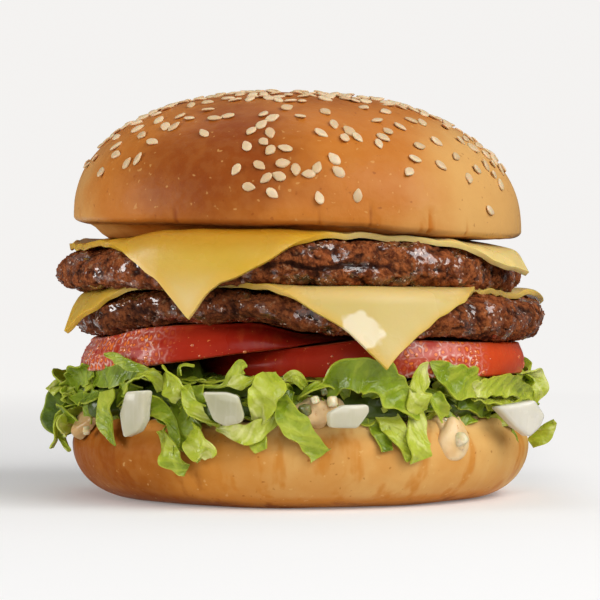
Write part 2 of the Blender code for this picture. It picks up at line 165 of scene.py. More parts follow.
def add_node(tree, kind, inputs=(), **settings):
    made = tree.nodes.new(kind)
    for name, value in settings.items():
        setattr(made, name, value)
    fill(tree, made, dict(inputs))
    return made


def new_look(name, **constants):
    """A new material, with constants set on the sockets of its Principled shader."""
    look = bpy.data.materials.new(name)
    look.use_nodes = True
    tree = look.node_tree
    shader = tree.nodes["Principled BSDF"]
    for label, value in constants.items():
        shader.inputs[label.replace("_", " ").title().replace("Ior", "IOR")].default_value = value
    return look, tree, shader, add_node(tree, "ShaderNodeTexCoord").outputs["Object"]


def new_group(name, inputs, outputs):
    """A shader node group with named sockets: (name, type, default) in and (name, type) out."""
    group = bpy.data.node_groups.new(name, "ShaderNodeTree")
    for label, kind, value in inputs:
        socket = group.interface.new_socket(label, in_out="INPUT", socket_type="NodeSocket" + kind)
        if value is not None:
            socket.default_value = value
    for label, kind in outputs:
        group.interface.new_socket(label, in_out="OUTPUT", socket_type="NodeSocket" + kind)
    return group, group.nodes.new("NodeGroupInput").outputs, group.nodes.new("NodeGroupOutput")


def use_group(tree, group, inputs):
    return add_node(tree, "ShaderNodeGroup", inputs, node_tree=group).outputs


def mixed(tree, mask, first, second):
    """The first colour where the mask is 0, and the second where it is 1."""
    return add_node(tree, "ShaderNodeMix", {0: mask, 6: first, 7: second}, data_type="RGBA").outputs[2]


def layered(tree, colour, *coats):
    """Colours laid over a first one, each where its mask is 1."""
    for mask, coat in coats:
        colour = mixed(tree, mask, colour, coat)
    return colour


def ranged(tree, value, low, high, to_low=0.0, to_high=1.0):
    """Stretches a value from one range to another, smoothly and without passing its ends."""
    inputs = {"Value": value, "From Min": low, "From Max": high, "To Min": to_low, "To Max": to_high}
    return add_node(tree, "ShaderNodeMapRange", inputs, interpolation_type="SMOOTHSTEP").outputs["Result"]


def maths(tree, operation, first, second=0.0, third=0.0):
    return add_node(tree, "ShaderNodeMath", {0: first, 1: second, 2: third}, operation=operation).outputs[0]


def times(tree, first, second):
    return maths(tree, "MULTIPLY", first, second)


def summed(tree, first, *others):
    for other in others:
        first = maths(tree, "ADD", first, other)
    return first


def part_of(tree, vector, axis):
    return add_node(tree, "ShaderNodeSeparateXYZ", {"Vector": vector}).outputs[axis]


def stretched(tree, place, scale):
    return add_node(tree, "ShaderNodeMapping", {"Vector": place, "Scale": scale}).outputs["Vector"]


def speckled(tree, place, scale, detail=2.0, roughness=0.5):
    """Noise over the surface, finer with a larger scale."""
    inputs = {"Vector": place, "Scale": scale, "Detail": detail, "Roughness": roughness}
    return add_node(tree, "ShaderNodeTexNoise", inputs).outputs["Fac"]


def bumped(tree, height, distance):
    return add_node(tree, "ShaderNodeBump", {"Height": height, "Distance": distance}).outputs["Normal"]


# Soft patches: a mask that drifts between 0 and 1 over the surface.
patches, entry, out = new_group(
    "soft_patches",
    (("Vector", "Vector", None), ("Scale", "Float", 60.0), ("Low", "Float", 0.35), ("High", "Float", 0.65)),
    (("Mask", "Float"),),
)
cloud = speckled(patches, entry["Vector"], entry["Scale"], 3.0)
fill(patches, out, {"Mask": ranged(patches, cloud, entry["Low"], entry["High"])})


def patchy(tree, place, scale, low=0.35, high=0.65):
    return use_group(tree, patches, {"Vector": place, "Scale": scale, "Low": low, "High": high})["Mask"]


# Fine grain: a shallow relief that only catches the light.
grain, entry, out = new_group(
    "fine_grain",
    (("Vector", "Vector", None), ("Scale", "Float", 900.0), ("Depth", "Float", 0.0001)),
    (("Normal", "Vector"),),
)
cloud = speckled(grain, entry["Vector"], entry["Scale"], 4.0)
fill(grain, out, {"Normal": bumped(grain, cloud, entry["Depth"])})


def grained(tree, place, scale, depth):
    return use_group(tree, grain, {"Vector": place, "Scale": scale, "Depth": depth})["Normal"]


# Baked crust: from pale to golden to brown as its mask rises, which holds the browning and any
# painted light and shade; with pores and pale flecks.
crust, entry, out = new_group(
    "baked_crust",
    (
        ("Vector", "Vector", None), ("Browning", "Float", 0.5), ("Pale", "Color", (0.6, 0.4, 0.2, 1)),
        ("Golden", "Color", (0.5, 0.2, 0.06, 1)), ("Brown", "Color", (0.25, 0.07, 0.015, 1)),
    ),
    (("Color", "Color"), ("Roughness", "Float"), ("Normal", "Vector")),
)
uneven = patchy(crust, entry["Vector"], 75.0, 0.3, 0.7)
mottle = patchy(crust, entry["Vector"], 420.0, 0.4, 0.62)
browning = summed(crust, entry["Browning"], maths(crust, "MULTIPLY_ADD", uneven, 0.15, -0.075))
pores = speckled(crust, entry["Vector"], 700.0, 1.0)
colour = layered(
    crust, entry["Pale"],
    (ranged(crust, browning, 0.0, 0.5), entry["Golden"]),
    (ranged(crust, browning, 0.5, 1.0), entry["Brown"]),
    (times(crust, mottle, 0.05), entry["Pale"]),
    (ranged(crust, pores, 0.70, 0.78, 0.0, 0.5), entry["Brown"]),
    (ranged(crust, pores, 0.30, 0.24, 0.0, 0.45), entry["Pale"]),
)
fill(crust, out, {
    "Color": colour, "Roughness": ranged(crust, uneven, 0.0, 1.0, 0.36, 0.47),
    "Normal": grained(crust, entry["Vector"], 520.0, 0.00016),
})


def bake(tree, shader, place, browning, pale, golden, brown, inside, crumb):
    """Baked crust outside, and the crumb's colour where the mask shows the inside of the bun."""
    inputs = {"Vector": place, "Browning": browning, "Pale": pale, "Golden": golden, "Brown": brown}
    baked = use_group(tree, crust, inputs)
    fill(tree, shader, {
        "Base Color": mixed(tree, inside, baked["Color"], crumb),
        "Roughness": baked["Roughness"], "Normal": baked["Normal"],
    })


def heel_profile():
    top_radius = HEEL_RADIUS - HEEL_SHOULDER
    shoulder = HEEL_TOP - SHOULDER_ROUND
    points = arc(6, lambda s: (s * (top_radius - SHOULDER_ROUND), HEEL_TOP))
    points += arc(8, lambda s: (
        top_radius - SHOULDER_ROUND * (1 - rise(s)), shoulder + SHOULDER_ROUND * fall(s),
    ))[1:]
    points += arc(12, lambda s: (
        top_radius + HEEL_SHOULDER * rise(s), shoulder + (HEEL_WIDEST - shoulder) * s,
    ))[1:]
    points += arc(22, lambda s: (
        HEEL_FOOT_RADIUS + (HEEL_RADIUS - HEEL_FOOT_RADIUS) * fall(s), HEEL_WIDEST * (1 - rise(s)),
    ))[1:]
    return points + arc(6, lambda s: (HEEL_FOOT_RADIUS * (1 - s), 0.0))[1:]


def heel_relief(at):
    """Broad swells of the skin, and short upright creases up its side."""
    swell = 0.00030 * noise.noise(at * 55)
    if not CREASES_FROM < at.z < CREASES_TO:
        return swell
    azimuth = math.atan2(at.y, at.x)
    band = math.sin(math.pi * (at.z - CREASES_FROM) / (CREASES_TO - CREASES_FROM))
    depth = sum(
        size * max(0.0, 1 - apart(azimuth, degrees) / math.radians(1.3)) for degrees, size in HEEL_CREASES
    )
    folds = 0.00012 * noise.noise(Vector((azimuth * 14, at.z * 60, 3.0)))
    return swell + band * (folds - depth)


heel_bm = spun(heel_profile(), 240)
for vert in heel_bm.verts:
    vert.co.xy *= 1 + waves(math.atan2(vert.co.y, vert.co.x), HEEL_SWINGS) / HEEL_RADIUS
foot = [vert for vert in heel_bm.verts if vert.co.z < 0.00001]
raised(heel_bm, heel_relief)
for vert in foot:
    vert.co.z = 0.0
for vert in heel_bm.verts:
    vert.co.z = max(vert.co.z, 0.0)
settled(heel_bm, "bun_heel", "xy")

heel_look, tree, shader, place = new_look("heel_crust", specular_ior_level=0.03)
height = part_of(tree, place, "Z")
toward_foot = ranged(tree, height, 0.0035, 0.0002, 0.0, 0.45)
toward_cut = ranged(tree, height, 0.0150, 0.0195, 0.0, 0.30)
# Browner towards the left: painted shade on the side away from the light.
left_side = ranged(tree, part_of(tree, place, "X"), 0.002, -0.050, 0.0, 0.72)
browning = maths(tree, "SUBTRACT", summed(tree, toward_foot, left_side, 0.29), toward_cut)
folds = speckled(tree, stretched(tree, place, (190.0, 190.0, 34.0)), 1.0, 3.0)
browning = summed(tree, browning, ranged(tree, folds, 0.52, 0.68, -0.05, 0.16))
toasted = mixed(tree, patchy(tree, place, 500.0, 0.4, 0.6), (0.72, 0.50, 0.26), (0.55, 0.30, 0.11))
bake(
    tree, shader, place, browning, (0.70, 0.43, 0.15), (0.56, 0.220, 0.036), (0.28, 0.070, 0.006),
    ranged(tree, height, 0.01925, 0.01945), toasted,
)
heel = made_piece("heel", heel_bm, heel_look)
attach(heel, "root")
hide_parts("bun_heel")


# ---- Sauce --------------------------------------------------------------------------------------
# A peach-coloured burger sauce with chopped relish, spread over the heel's cut face. It is thick
# and glossy, and hangs over the shoulder in a few drips between the shreds of lettuce.

SAUCE_REACH = 0.0462
SAUCE_THICKNESS = 0.0013
SAUCE_DRIPS = (  # degrees, half their width in degrees, length, and how much fatter at the foot
    (-158.5, 8, 0.0098, 0.0026), (-87, 8, 0.0040, 0.0030), (-48.4, 5.4, 0.0118, 0.0022),
    (-39, 9, 0.0048, 0.0004), (38, 10, 0.0090, 0.0006), (124, 11, 0.0110, 0.0006),
    (-20, 9, 0.0045, 0.0004), (175, 9, 0.004, 0.0004),
)
SAUCE_LUMPS = (  # degrees, height, distance from the axis, radius in millimetres
    (-86.5, 0.0215, 0.0515, 4.4), (-90.5, 0.0205, 0.0505, 3.0), (-82, 0.0225, 0.050, 3.0),
)
DROP_RADIUS = 0.0046
DROP_DEGREES = -49.3
HEEL_PATH = heel_profile()
HEEL_AXIS_X = -0.0009


def bump(azimuth, centre, spread):
    """1 at the centre, falling smoothly to 0 at the spread on each side, both in degrees."""
    away = abs((azimuth - math.radians(centre) + math.pi) % (2 * math.pi) - math.pi)
    spread = math.radians(spread)
    return 0.5 + 0.5 * math.cos(math.pi * away / spread) if away < spread else 0.0


def along_heel(distance):
    """(radius, height, outward normal) at a distance from the axis, over the cut face and down
    the side of the heel."""
    left = distance
    for (r0, z0), (r1, z1) in zip(HEEL_PATH, HEEL_PATH[1:]):
        length = math.hypot(r1 - r0, z1 - z0)
        if left <= length:
            share = left / length
            normal = Vector((-(z1 - z0) / length, (r1 - r0) / length))
            return r0 + (r1 - r0) * share, z0 + (z1 - z0) * share, normal
        left -= length
    return r1, z1, Vector((0.0, -1.0))


def on_ring(azimuth, radius, height, axis=0.0):
    return Vector((axis + radius * math.cos(azimuth), radius * math.sin(azimuth), height))


def over_heel(distance, azimuth, offset):
    """The point that lies this far out along the heel and this far off its surface."""
    normals = [along_heel(max(distance + step, 0.0))[2] for step in (-0.001, 0.0, 0.001)]
    normal = sum(normals, Vector((0.0, 0.0))).normalized()
    radius, height, _ = along_heel(distance)
    radius = radius * (1 + waves(azimuth, HEEL_SWINGS) / HEEL_RADIUS) + normal.x * offset
    return on_ring(azimuth, radius, height + normal.y * offset, HEEL_AXIS_X)


def laid_on_heel(bm, reach_at, offset_at):
    """Lays a spun disc of (share, side) over the heel, out to a reach for each azimuth."""
    for vert in bm.verts:
        azimuth = math.atan2(vert.co.y, vert.co.x)
        reach = reach_at(azimuth)
        distance = math.hypot(vert.co.x, vert.co.y) * reach
        vert.co = over_heel(distance, azimuth, offset_at(distance, reach, azimuth, vert.co.z))
    bmesh.ops.recalc_face_normals(bm, faces=bm.faces[:])


def disc_of_two_sides(count):
    """The profile of a disc: share of the reach, and 1 for the upper side or 0 for the lower."""
    stations = [math.sin(0.5 * math.pi * i / count) for i in range(count)]
    return [(s, 1.0) for s in stations] + [(1.0, 0.5)] + [(s, 0.0) for s in reversed(stations)]


def sauce_reach(azimuth):
    drips = sum(length * bump(azimuth, at, spread) ** 0.45 for at, spread, length, _ in SAUCE_DRIPS)
    return SAUCE_REACH + waves(azimuth, ((7, 0.0005, 0.4), (11, 0.0003, 1.3))) + drips


def sauce_offset(distance, reach, azimuth, side):
    """Thick in the middle, rounded at the edge, and fattest near the foot of each drip."""
    if side <= 0.4:
        return -0.00005
    from_edge = max(reach - distance, 0.0)
    rounding = math.sqrt(max(0.0, 1 - (1 - min(from_edge / 0.0022, 1.0)) ** 2))
    fat = sum(
        size * bump(azimuth, at, 0.85 * spread) * math.exp(-from_edge / 0.0040)
        for at, spread, _, size in SAUCE_DRIPS
    )
    lumpy = 0.00025 * noise.noise(Vector((azimuth * 22, distance * 260, 7.0)))
    return (SAUCE_THICKNESS + fat + lumpy) * rounding


sauce_bm = spun(disc_of_two_sides(64), 360)
laid_on_heel(sauce_bm, sauce_reach, sauce_offset)

# Where it is thickest, it stands up between the strips of lettuce as soft lumps.
for degrees, height, radius, size in SAUCE_LUMPS:
    lump = bmesh.ops.create_icosphere(sauce_bm, subdivisions=4, radius=0.001 * size)["verts"]
    for vert in lump:
        vert.co *= 1 + 0.35 * noise.noise(vert.co * 260 + Vector((degrees, 0.0, 0.0)))
        vert.co = Vector((vert.co.x, 0.55 * vert.co.y, 0.75 * vert.co.z))
    bmesh.ops.translate(sauce_bm, verts=lump, vec=on_ring(math.radians(degrees), radius, height))

# The long drip at the right gathers in a heavy round drop.
hanging = bmesh.ops.create_icosphere(sauce_bm, subdivisions=4, radius=DROP_RADIUS)["verts"]
for vert in hanging:
    vert.co *= 1 + 0.12 * noise.noise(vert.co * 210)
    narrower = 1 - 0.40 * max(vert.co.z, 0.0) / DROP_RADIUS
    vert.co = Vector((0.48 * vert.co.x, 0.96 * narrower * vert.co.y, 1.10 * vert.co.z))
azimuth = math.radians(DROP_DEGREES)
drop_turn = Matrix.Translation(on_ring(azimuth, 0.0520, 0.0151)) @ Matrix.Rotation(azimuth, 4, "Z")
bmesh.ops.transform(sauce_bm, matrix=drop_turn, verts=hanging)

sauce_look, tree, shader, place = new_look(
    "burger_sauce", specular_ior_level=0.35, subsurface_weight=0.25, subsurface_scale=0.003,
    subsurface_radius=(1.0, 0.6, 0.35),
)
swirl = patchy(tree, place, 210.0)
colour = layered(
    tree, mixed(tree, swirl, (0.74, 0.47, 0.21), (0.82, 0.58, 0.31)),
    (patchy(tree, place, 1100.0, 0.66, 0.72), (0.62, 0.25, 0.07)),
    # Darker at the left: painted shade on the side away from the light.
    (ranged(tree, part_of(tree, place, "X"), -0.034, -0.046, 0.0, 0.7), (0.42, 0.25, 0.085)),
)
fill(tree, shader, {
    "Base Color": colour, "Roughness": ranged(tree, swirl, 0.0, 1.0, 0.28, 0.40),
    "Normal": grained(tree, place, 330.0, 0.0003),
})
sauce = made_piece("sauce_spread", sauce_bm, sauce_look)
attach(sauce, "root")
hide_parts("sauce")


# ---- Relish in the sauce ------------------------------------------------------------------------
# Small dice of pickled cucumber, pale and translucent with an olive skin, stirred into the sauce
# and standing out of it where it is thin.

VIEWER = Vector((0.0, -0.700, 0.055))
BED_RADIUS = 0.0512
RELISH = (  # place seen from the front, how far off the side, size, 1 for a dark piece of skin
    (37.6, 12.6, 2.2, 3.0, 0.0), (35.6, 14.4, 2.0, 1.5, 1.0), (1.2, 19.6, 3.0, 2.8, 1.0),
    (7.6, 21.6, 3.4, 2.4, 0.0), (5.6, 24.0, 2.2, 2.0, 1.0), (34.4, 17.2, 1.8, 1.4, 0.0),
    (-50.2, 14.8, 2.3, 1.8, 0.0), (3.6, 22.0, 3.2, 1.7, 0.0), (9.0, 18.6, 2.8, 1.4, 1.0),
    (33.5, 20.5, 1.6, 1.5, 0.0),
)


def side_of_burger(height):
    """Radius of the burger's side at a height: the heel, and above it the bed of lettuce."""
    if height >= HEEL_TOP:
        return BED_RADIUS
    for (r0, z0), (r1, z1) in zip(HEEL_PATH, HEEL_PATH[1:]):
        if z1 <= height <= z0 and z0 > z1:
            return r1 + (r0 - r1) * (height - z1) / (z0 - z1)
    return HEEL_FOOT_RADIUS


def seen(across, up, off=0.0):
    """The place on the burger's side that shows, from the front, at these millimetres on its
    middle plane, so many millimetres off its surface."""
    line = Vector((across, 0.0, up)) * 0.001 - VIEWER
    start = VIEWER.xy - Vector((HEEL_AXIS_X, 0.0))
    radius = 0.053
    for _ in range(4):
        a = line.xy.length_squared
        b = 2 * start.dot(line.xy)
        c = start.length_squared - radius**2
        root = math.sqrt(max(b * b - 4 * a * c, 0.0))
        point = VIEWER + line * ((-b - root) / (2 * a))
        radius = side_of_burger(point.z) + 0.001 * off
    return point


relish_bm = bmesh.new()
skin_share = relish_bm.verts.layers.float.new("skin")
draw = random.Random(5)


def relish_bit(point, size, dark):
    """A diced cube with rounded edges, turned at random."""
    new = bmesh.ops.create_cube(relish_bm, size=0.001 * size)["verts"]
    beveled = bmesh.ops.bevel(
        relish_bm, geom=list({edge for vert in new for edge in vert.link_edges}), offset=0.00026 * size,
        affect="EDGES", segments=2, profile=0.5, material=-1,
    )
    new = list({vert for face in beveled["faces"] for vert in face.verts} | {v for v in new if v.is_valid})
    turn = Matrix.Rotation(draw.uniform(0, 6.3), 3, "Z") @ Matrix.Rotation(draw.uniform(0.2, 0.9), 3, "X")
    stretch = Matrix.Diagonal((draw.uniform(0.8, 1.1), draw.uniform(0.7, 1.0), draw.uniform(0.7, 1.0)))
    bmesh.ops.transform(relish_bm, matrix=(turn @ stretch).to_4x4(), verts=new)
    bmesh.ops.translate(relish_bm, verts=new, vec=point)
    for vert in new:
        vert[skin_share] = dark


for across, up, off, size, dark in RELISH:
    relish_bit(seen(across, up, off), size, dark)
for number in range(60):
    azimuth = math.radians(draw.uniform(0, 360))
    distance = draw.uniform(0.044, sauce_reach(azimuth) - 0.0015)
    relish_bit(over_heel(distance, azimuth, 0.0012), draw.uniform(1.2, 2.2), float(draw.random() < 0.4))


def stored(tree, name):
    """A value that the mesh keeps at each vertex."""
    return add_node(tree, "ShaderNodeAttribute", attribute_name=name).outputs["Fac"]


relish_look, tree, shader, place = new_look(
    "relish_dice", specular_ior_level=0.55, subsurface_weight=0.3, subsurface_scale=0.002,
)
cloudy = patchy(tree, place, 700.0)
flesh = mixed(tree, cloudy, (0.82, 0.74, 0.50), (0.60, 0.50, 0.24))
rind = mixed(tree, cloudy, (0.10, 0.11, 0.03), (0.19, 0.19, 0.06))
fill(tree, shader, {
    "Base Color": mixed(tree, stored(tree, "skin"), flesh, rind),
    "Roughness": ranged(tree, cloudy, 0.0, 1.0, 0.15, 0.30),
})
relish = made_piece("relish_bits", relish_bm, relish_look)
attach(relish, "root")


# ---- Lettuce ------------------------------------------------------------------------------------
# Iceberg lettuce cut into strips 3 to 9 mm wide. The bed in the middle is pressed flat, in painted shade.
# Round its edge the strips curl, fold and hang over the heel, pale where they are thick.

LETTUCE_REACH = 0.0500
LEAF_THICKNESS = 0.00038
LEAF_TIDY = 0.00088  # a strip's width for each millimetre given, as its edges are ragged


def bed_offset(distance, reach, azimuth, side):
    if side <= 0.4:
        return 0.0010
    share = distance / reach
    lumps = 0.0011 * noise.noise(Vector((azimuth * 9, distance * 420, 1.0)))
    lumps += 0.0007 * noise.noise(Vector((azimuth * 23, distance * 800, 4.0)))
    across = distance * math.cos(azimuth)
    mound = min(0.0126, 0.0163 + 0.13 * across) if across < -0.0215 and share < 0.88 else 0.0
    upper = max(0.0094, mound) + lumps * min(1.0, 2 * share)
    return upper * math.sqrt(max(0.0, 1 - max(share - 0.86, 0.0) ** 2 / 0.14**2 * 0.9))


def bed_reach(azimuth):
    return LETTUCE_REACH + waves(azimuth, ((9, 0.0006, 0.3), (17, 0.0006, 1.9), (29, 0.0003, 0.7)))


bed_bm = spun(disc_of_two_sides(36), 300)
laid_on_heel(bed_bm, bed_reach, bed_offset)

leaf_veins, entry, out = new_group(
    "leaf_veins",
    (("Along", "Float", None), ("Across", "Float", None), ("Vector", "Vector", None)),
    (("Rib", "Float"), ("Edge", "Float"), ("Cloud", "Float")),
)
bent = speckled(leaf_veins, entry["Vector"], 160.0)
slanted = maths(leaf_veins, "MULTIPLY_ADD", bent, 0.6, entry["Along"])
slanted = maths(leaf_veins, "MULTIPLY_ADD", entry["Across"], 0.30, slanted)
wave = ranged(leaf_veins, maths(leaf_veins, "SINE", times(leaf_veins, slanted, 17.0)), -0.4, 1.0, 0.0, 0.8)
net = {"Vector": entry["Vector"], "Scale": 520.0}
net = add_node(leaf_veins, "ShaderNodeTexVoronoi", net, feature="DISTANCE_TO_EDGE").outputs["Distance"]
fill(leaf_veins, out, {
    "Rib": maths(leaf_veins, "MULTIPLY_ADD", ranged(leaf_veins, net, 0.16, 0.02), 0.28, wave),
    "Edge": ranged(leaf_veins, maths(leaf_veins, "ABSOLUTE", entry["Across"]), 0.86, 1.0),
    "Cloud": patchy(leaf_veins, entry["Vector"], 230.0, 0.3, 0.7),
})


def lettuce_look(name, dark, green, pale, white):
    look, tree, shader, place = new_look(
        name, specular_ior_level=0.32, subsurface_weight=0.30, subsurface_scale=0.0014,
        subsurface_radius=(0.8, 1.0, 0.25),
    )
    uv = add_node(tree, "ShaderNodeTexCoord").outputs["UV"]
    inputs = {"Along": part_of(tree, uv, "X"), "Across": part_of(tree, uv, "Y"), "Vector": place}
    veins = use_group(tree, leaf_veins, inputs)
    shade = maths(tree, "MULTIPLY_ADD", veins["Cloud"], 0.24, stored(tree, "tone"))
    shade = maths(tree, "MULTIPLY_ADD", veins["Rib"], 0.12, shade)
    shade = maths(tree, "SUBTRACT", shade, 0.15)
    colour = layered(
        tree, dark, (ranged(tree, shade, 0.0, 0.5), green), (ranged(tree, shade, 0.45, 0.85), pale),
        (ranged(tree, shade, 0.85, 1.15), white), (times(tree, veins["Edge"], 0.6), pale),
    )
    high = maths(tree, "MULTIPLY_ADD", veins["Cloud"], 0.9, veins["Rib"])
    fill(tree, shader, {
        "Base Color": colour, "Roughness": ranged(tree, veins["Cloud"], 0.0, 1.0, 0.24, 0.42),
        "Normal": bumped(tree, high, 0.00013),
    })
    return look


leaf_look = lettuce_look(
    "lettuce_leaf", (0.066, 0.112, 0.005), (0.205, 0.285, 0.012), (0.43, 0.485, 0.042), (0.70, 0.72, 0.26),
)
# The bed's colours are a darker copy of the leaf's: painted shade over the whole bed.
bed_look = lettuce_look(
    "lettuce_bed", (0.052, 0.082, 0.006), (0.13, 0.18, 0.010), (0.20, 0.25, 0.02), (0.28, 0.31, 0.05),
)
bed = made_piece("lettuce_bed", bed_bm, bed_look)
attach(bed, "root")
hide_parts("lettuce")


def through(values, share):
    """A value on the smooth curve through a row of values, at a share of the way."""
    place = share * (len(values) - 1)
    i = min(int(place), len(values) - 2)
    t = place - i
    before = values[max(i - 1, 0)]
    first = values[i]
    second = values[i + 1]
    after = values[min(i + 2, len(values) - 1)]
    slope = (second - before) * 0.5 * t
    bend = (before - first * 2.5 + second * 2 - after * 0.5) * t**2
    return first + slope + bend + ((after - before) * 0.5 + (first - second) * 1.5) * t**3


def shred(bm, way, widths, tone, rolls=(0.0, 0.0), curl=0.25, ruffle=0.25, slant=0.0, steps=30):
    """One strip of leaf along a smooth way of points. Widths in millimetres and rolls in degrees
    are spread evenly over its length: unrolled, the strip lies flat against the burger."""
    tones = bm.verts.layers.float["tone"]
    uv = bm.loops.layers.uv["uv"]
    sheet = bmesh.ops.create_grid(bm, x_segments=steps, y_segments=8, size=0.5)["verts"]
    rows = {vert: (vert.co.x + 0.5, 2 * vert.co.y) for vert in sheet}
    phase = 40 * way[0].x + 900 * way[-1].z
    drift = Vector((0.0, 0.0, phase))
    length = sum((b - a).length for a, b in zip(way, way[1:]))
    widths = [LEAF_TIDY * width for width in widths]
    for vert, (along, across) in rows.items():
        ragged = 0.5 * noise.noise(Vector((along * length * 330, across * 0.6, phase)))
        share = min(max(along + slant * across * (2 * along - 1) ** 3, 0.0), 1.0)
        here = through(way, share)
        ahead = through(way, min(share + 0.02, 1.0)) - through(way, max(share - 0.02, 0.0))
        forward = ahead.normalized()
        outward = Vector((here.x - HEEL_AXIS_X, here.y, 0.0)).normalized()
        side = forward.cross(outward).normalized()
        outward = side.cross(forward)
        roll = math.radians(through(rolls, share))
        flat = side * math.cos(roll) + outward * math.sin(roll)
        up = outward * math.cos(roll) - side * math.sin(roll)
        half = 0.5 * max(through(widths, share), 0.0003) * (1 + ragged * abs(across) ** 2)
        wave = math.sin(along * length * 900 + phase + 1.3 * across) * abs(across) ** 1.5
        at = here + flat * half * across
        crumple = noise.noise(at * 330 + drift)
        fold = abs(noise.noise(at * 190 - drift))
        rise_by = 0.6 * curl * half * (across**2 - 0.4) + 0.0008 * ruffle * wave + 0.0004 * crumple
        vert.co = at + up * (rise_by - 0.0014 * fold)
        vert[tones] = tone + 0.22 * (share - 0.5) * (1 if phase % 2 > 1 else -1)
    for face in {face for vert in sheet for face in vert.link_faces}:
        for loop in face.loops:
            along, across = rows[loop.vert]
            loop[uv].uv = (along * length * 100, across)


def new_shreds():
    bm = bmesh.new()
    bm.verts.layers.float.new("tone")
    bm.loops.layers.uv.new("uv")
    return bm


def finished_shreds(name, bm):
    bmesh.ops.recalc_face_normals(bm, faces=bm.faces[:])
    for edge in bm.edges:
        edge.smooth = not edge.is_boundary
    piece = made_piece(name, bm, leaf_look)
    thick = piece.modifiers.new("Leaf thickness", "SOLIDIFY")
    thick.thickness = LEAF_THICKNESS
    thick.offset = 0.0
    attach(piece, "root")
    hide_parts("lettuce")


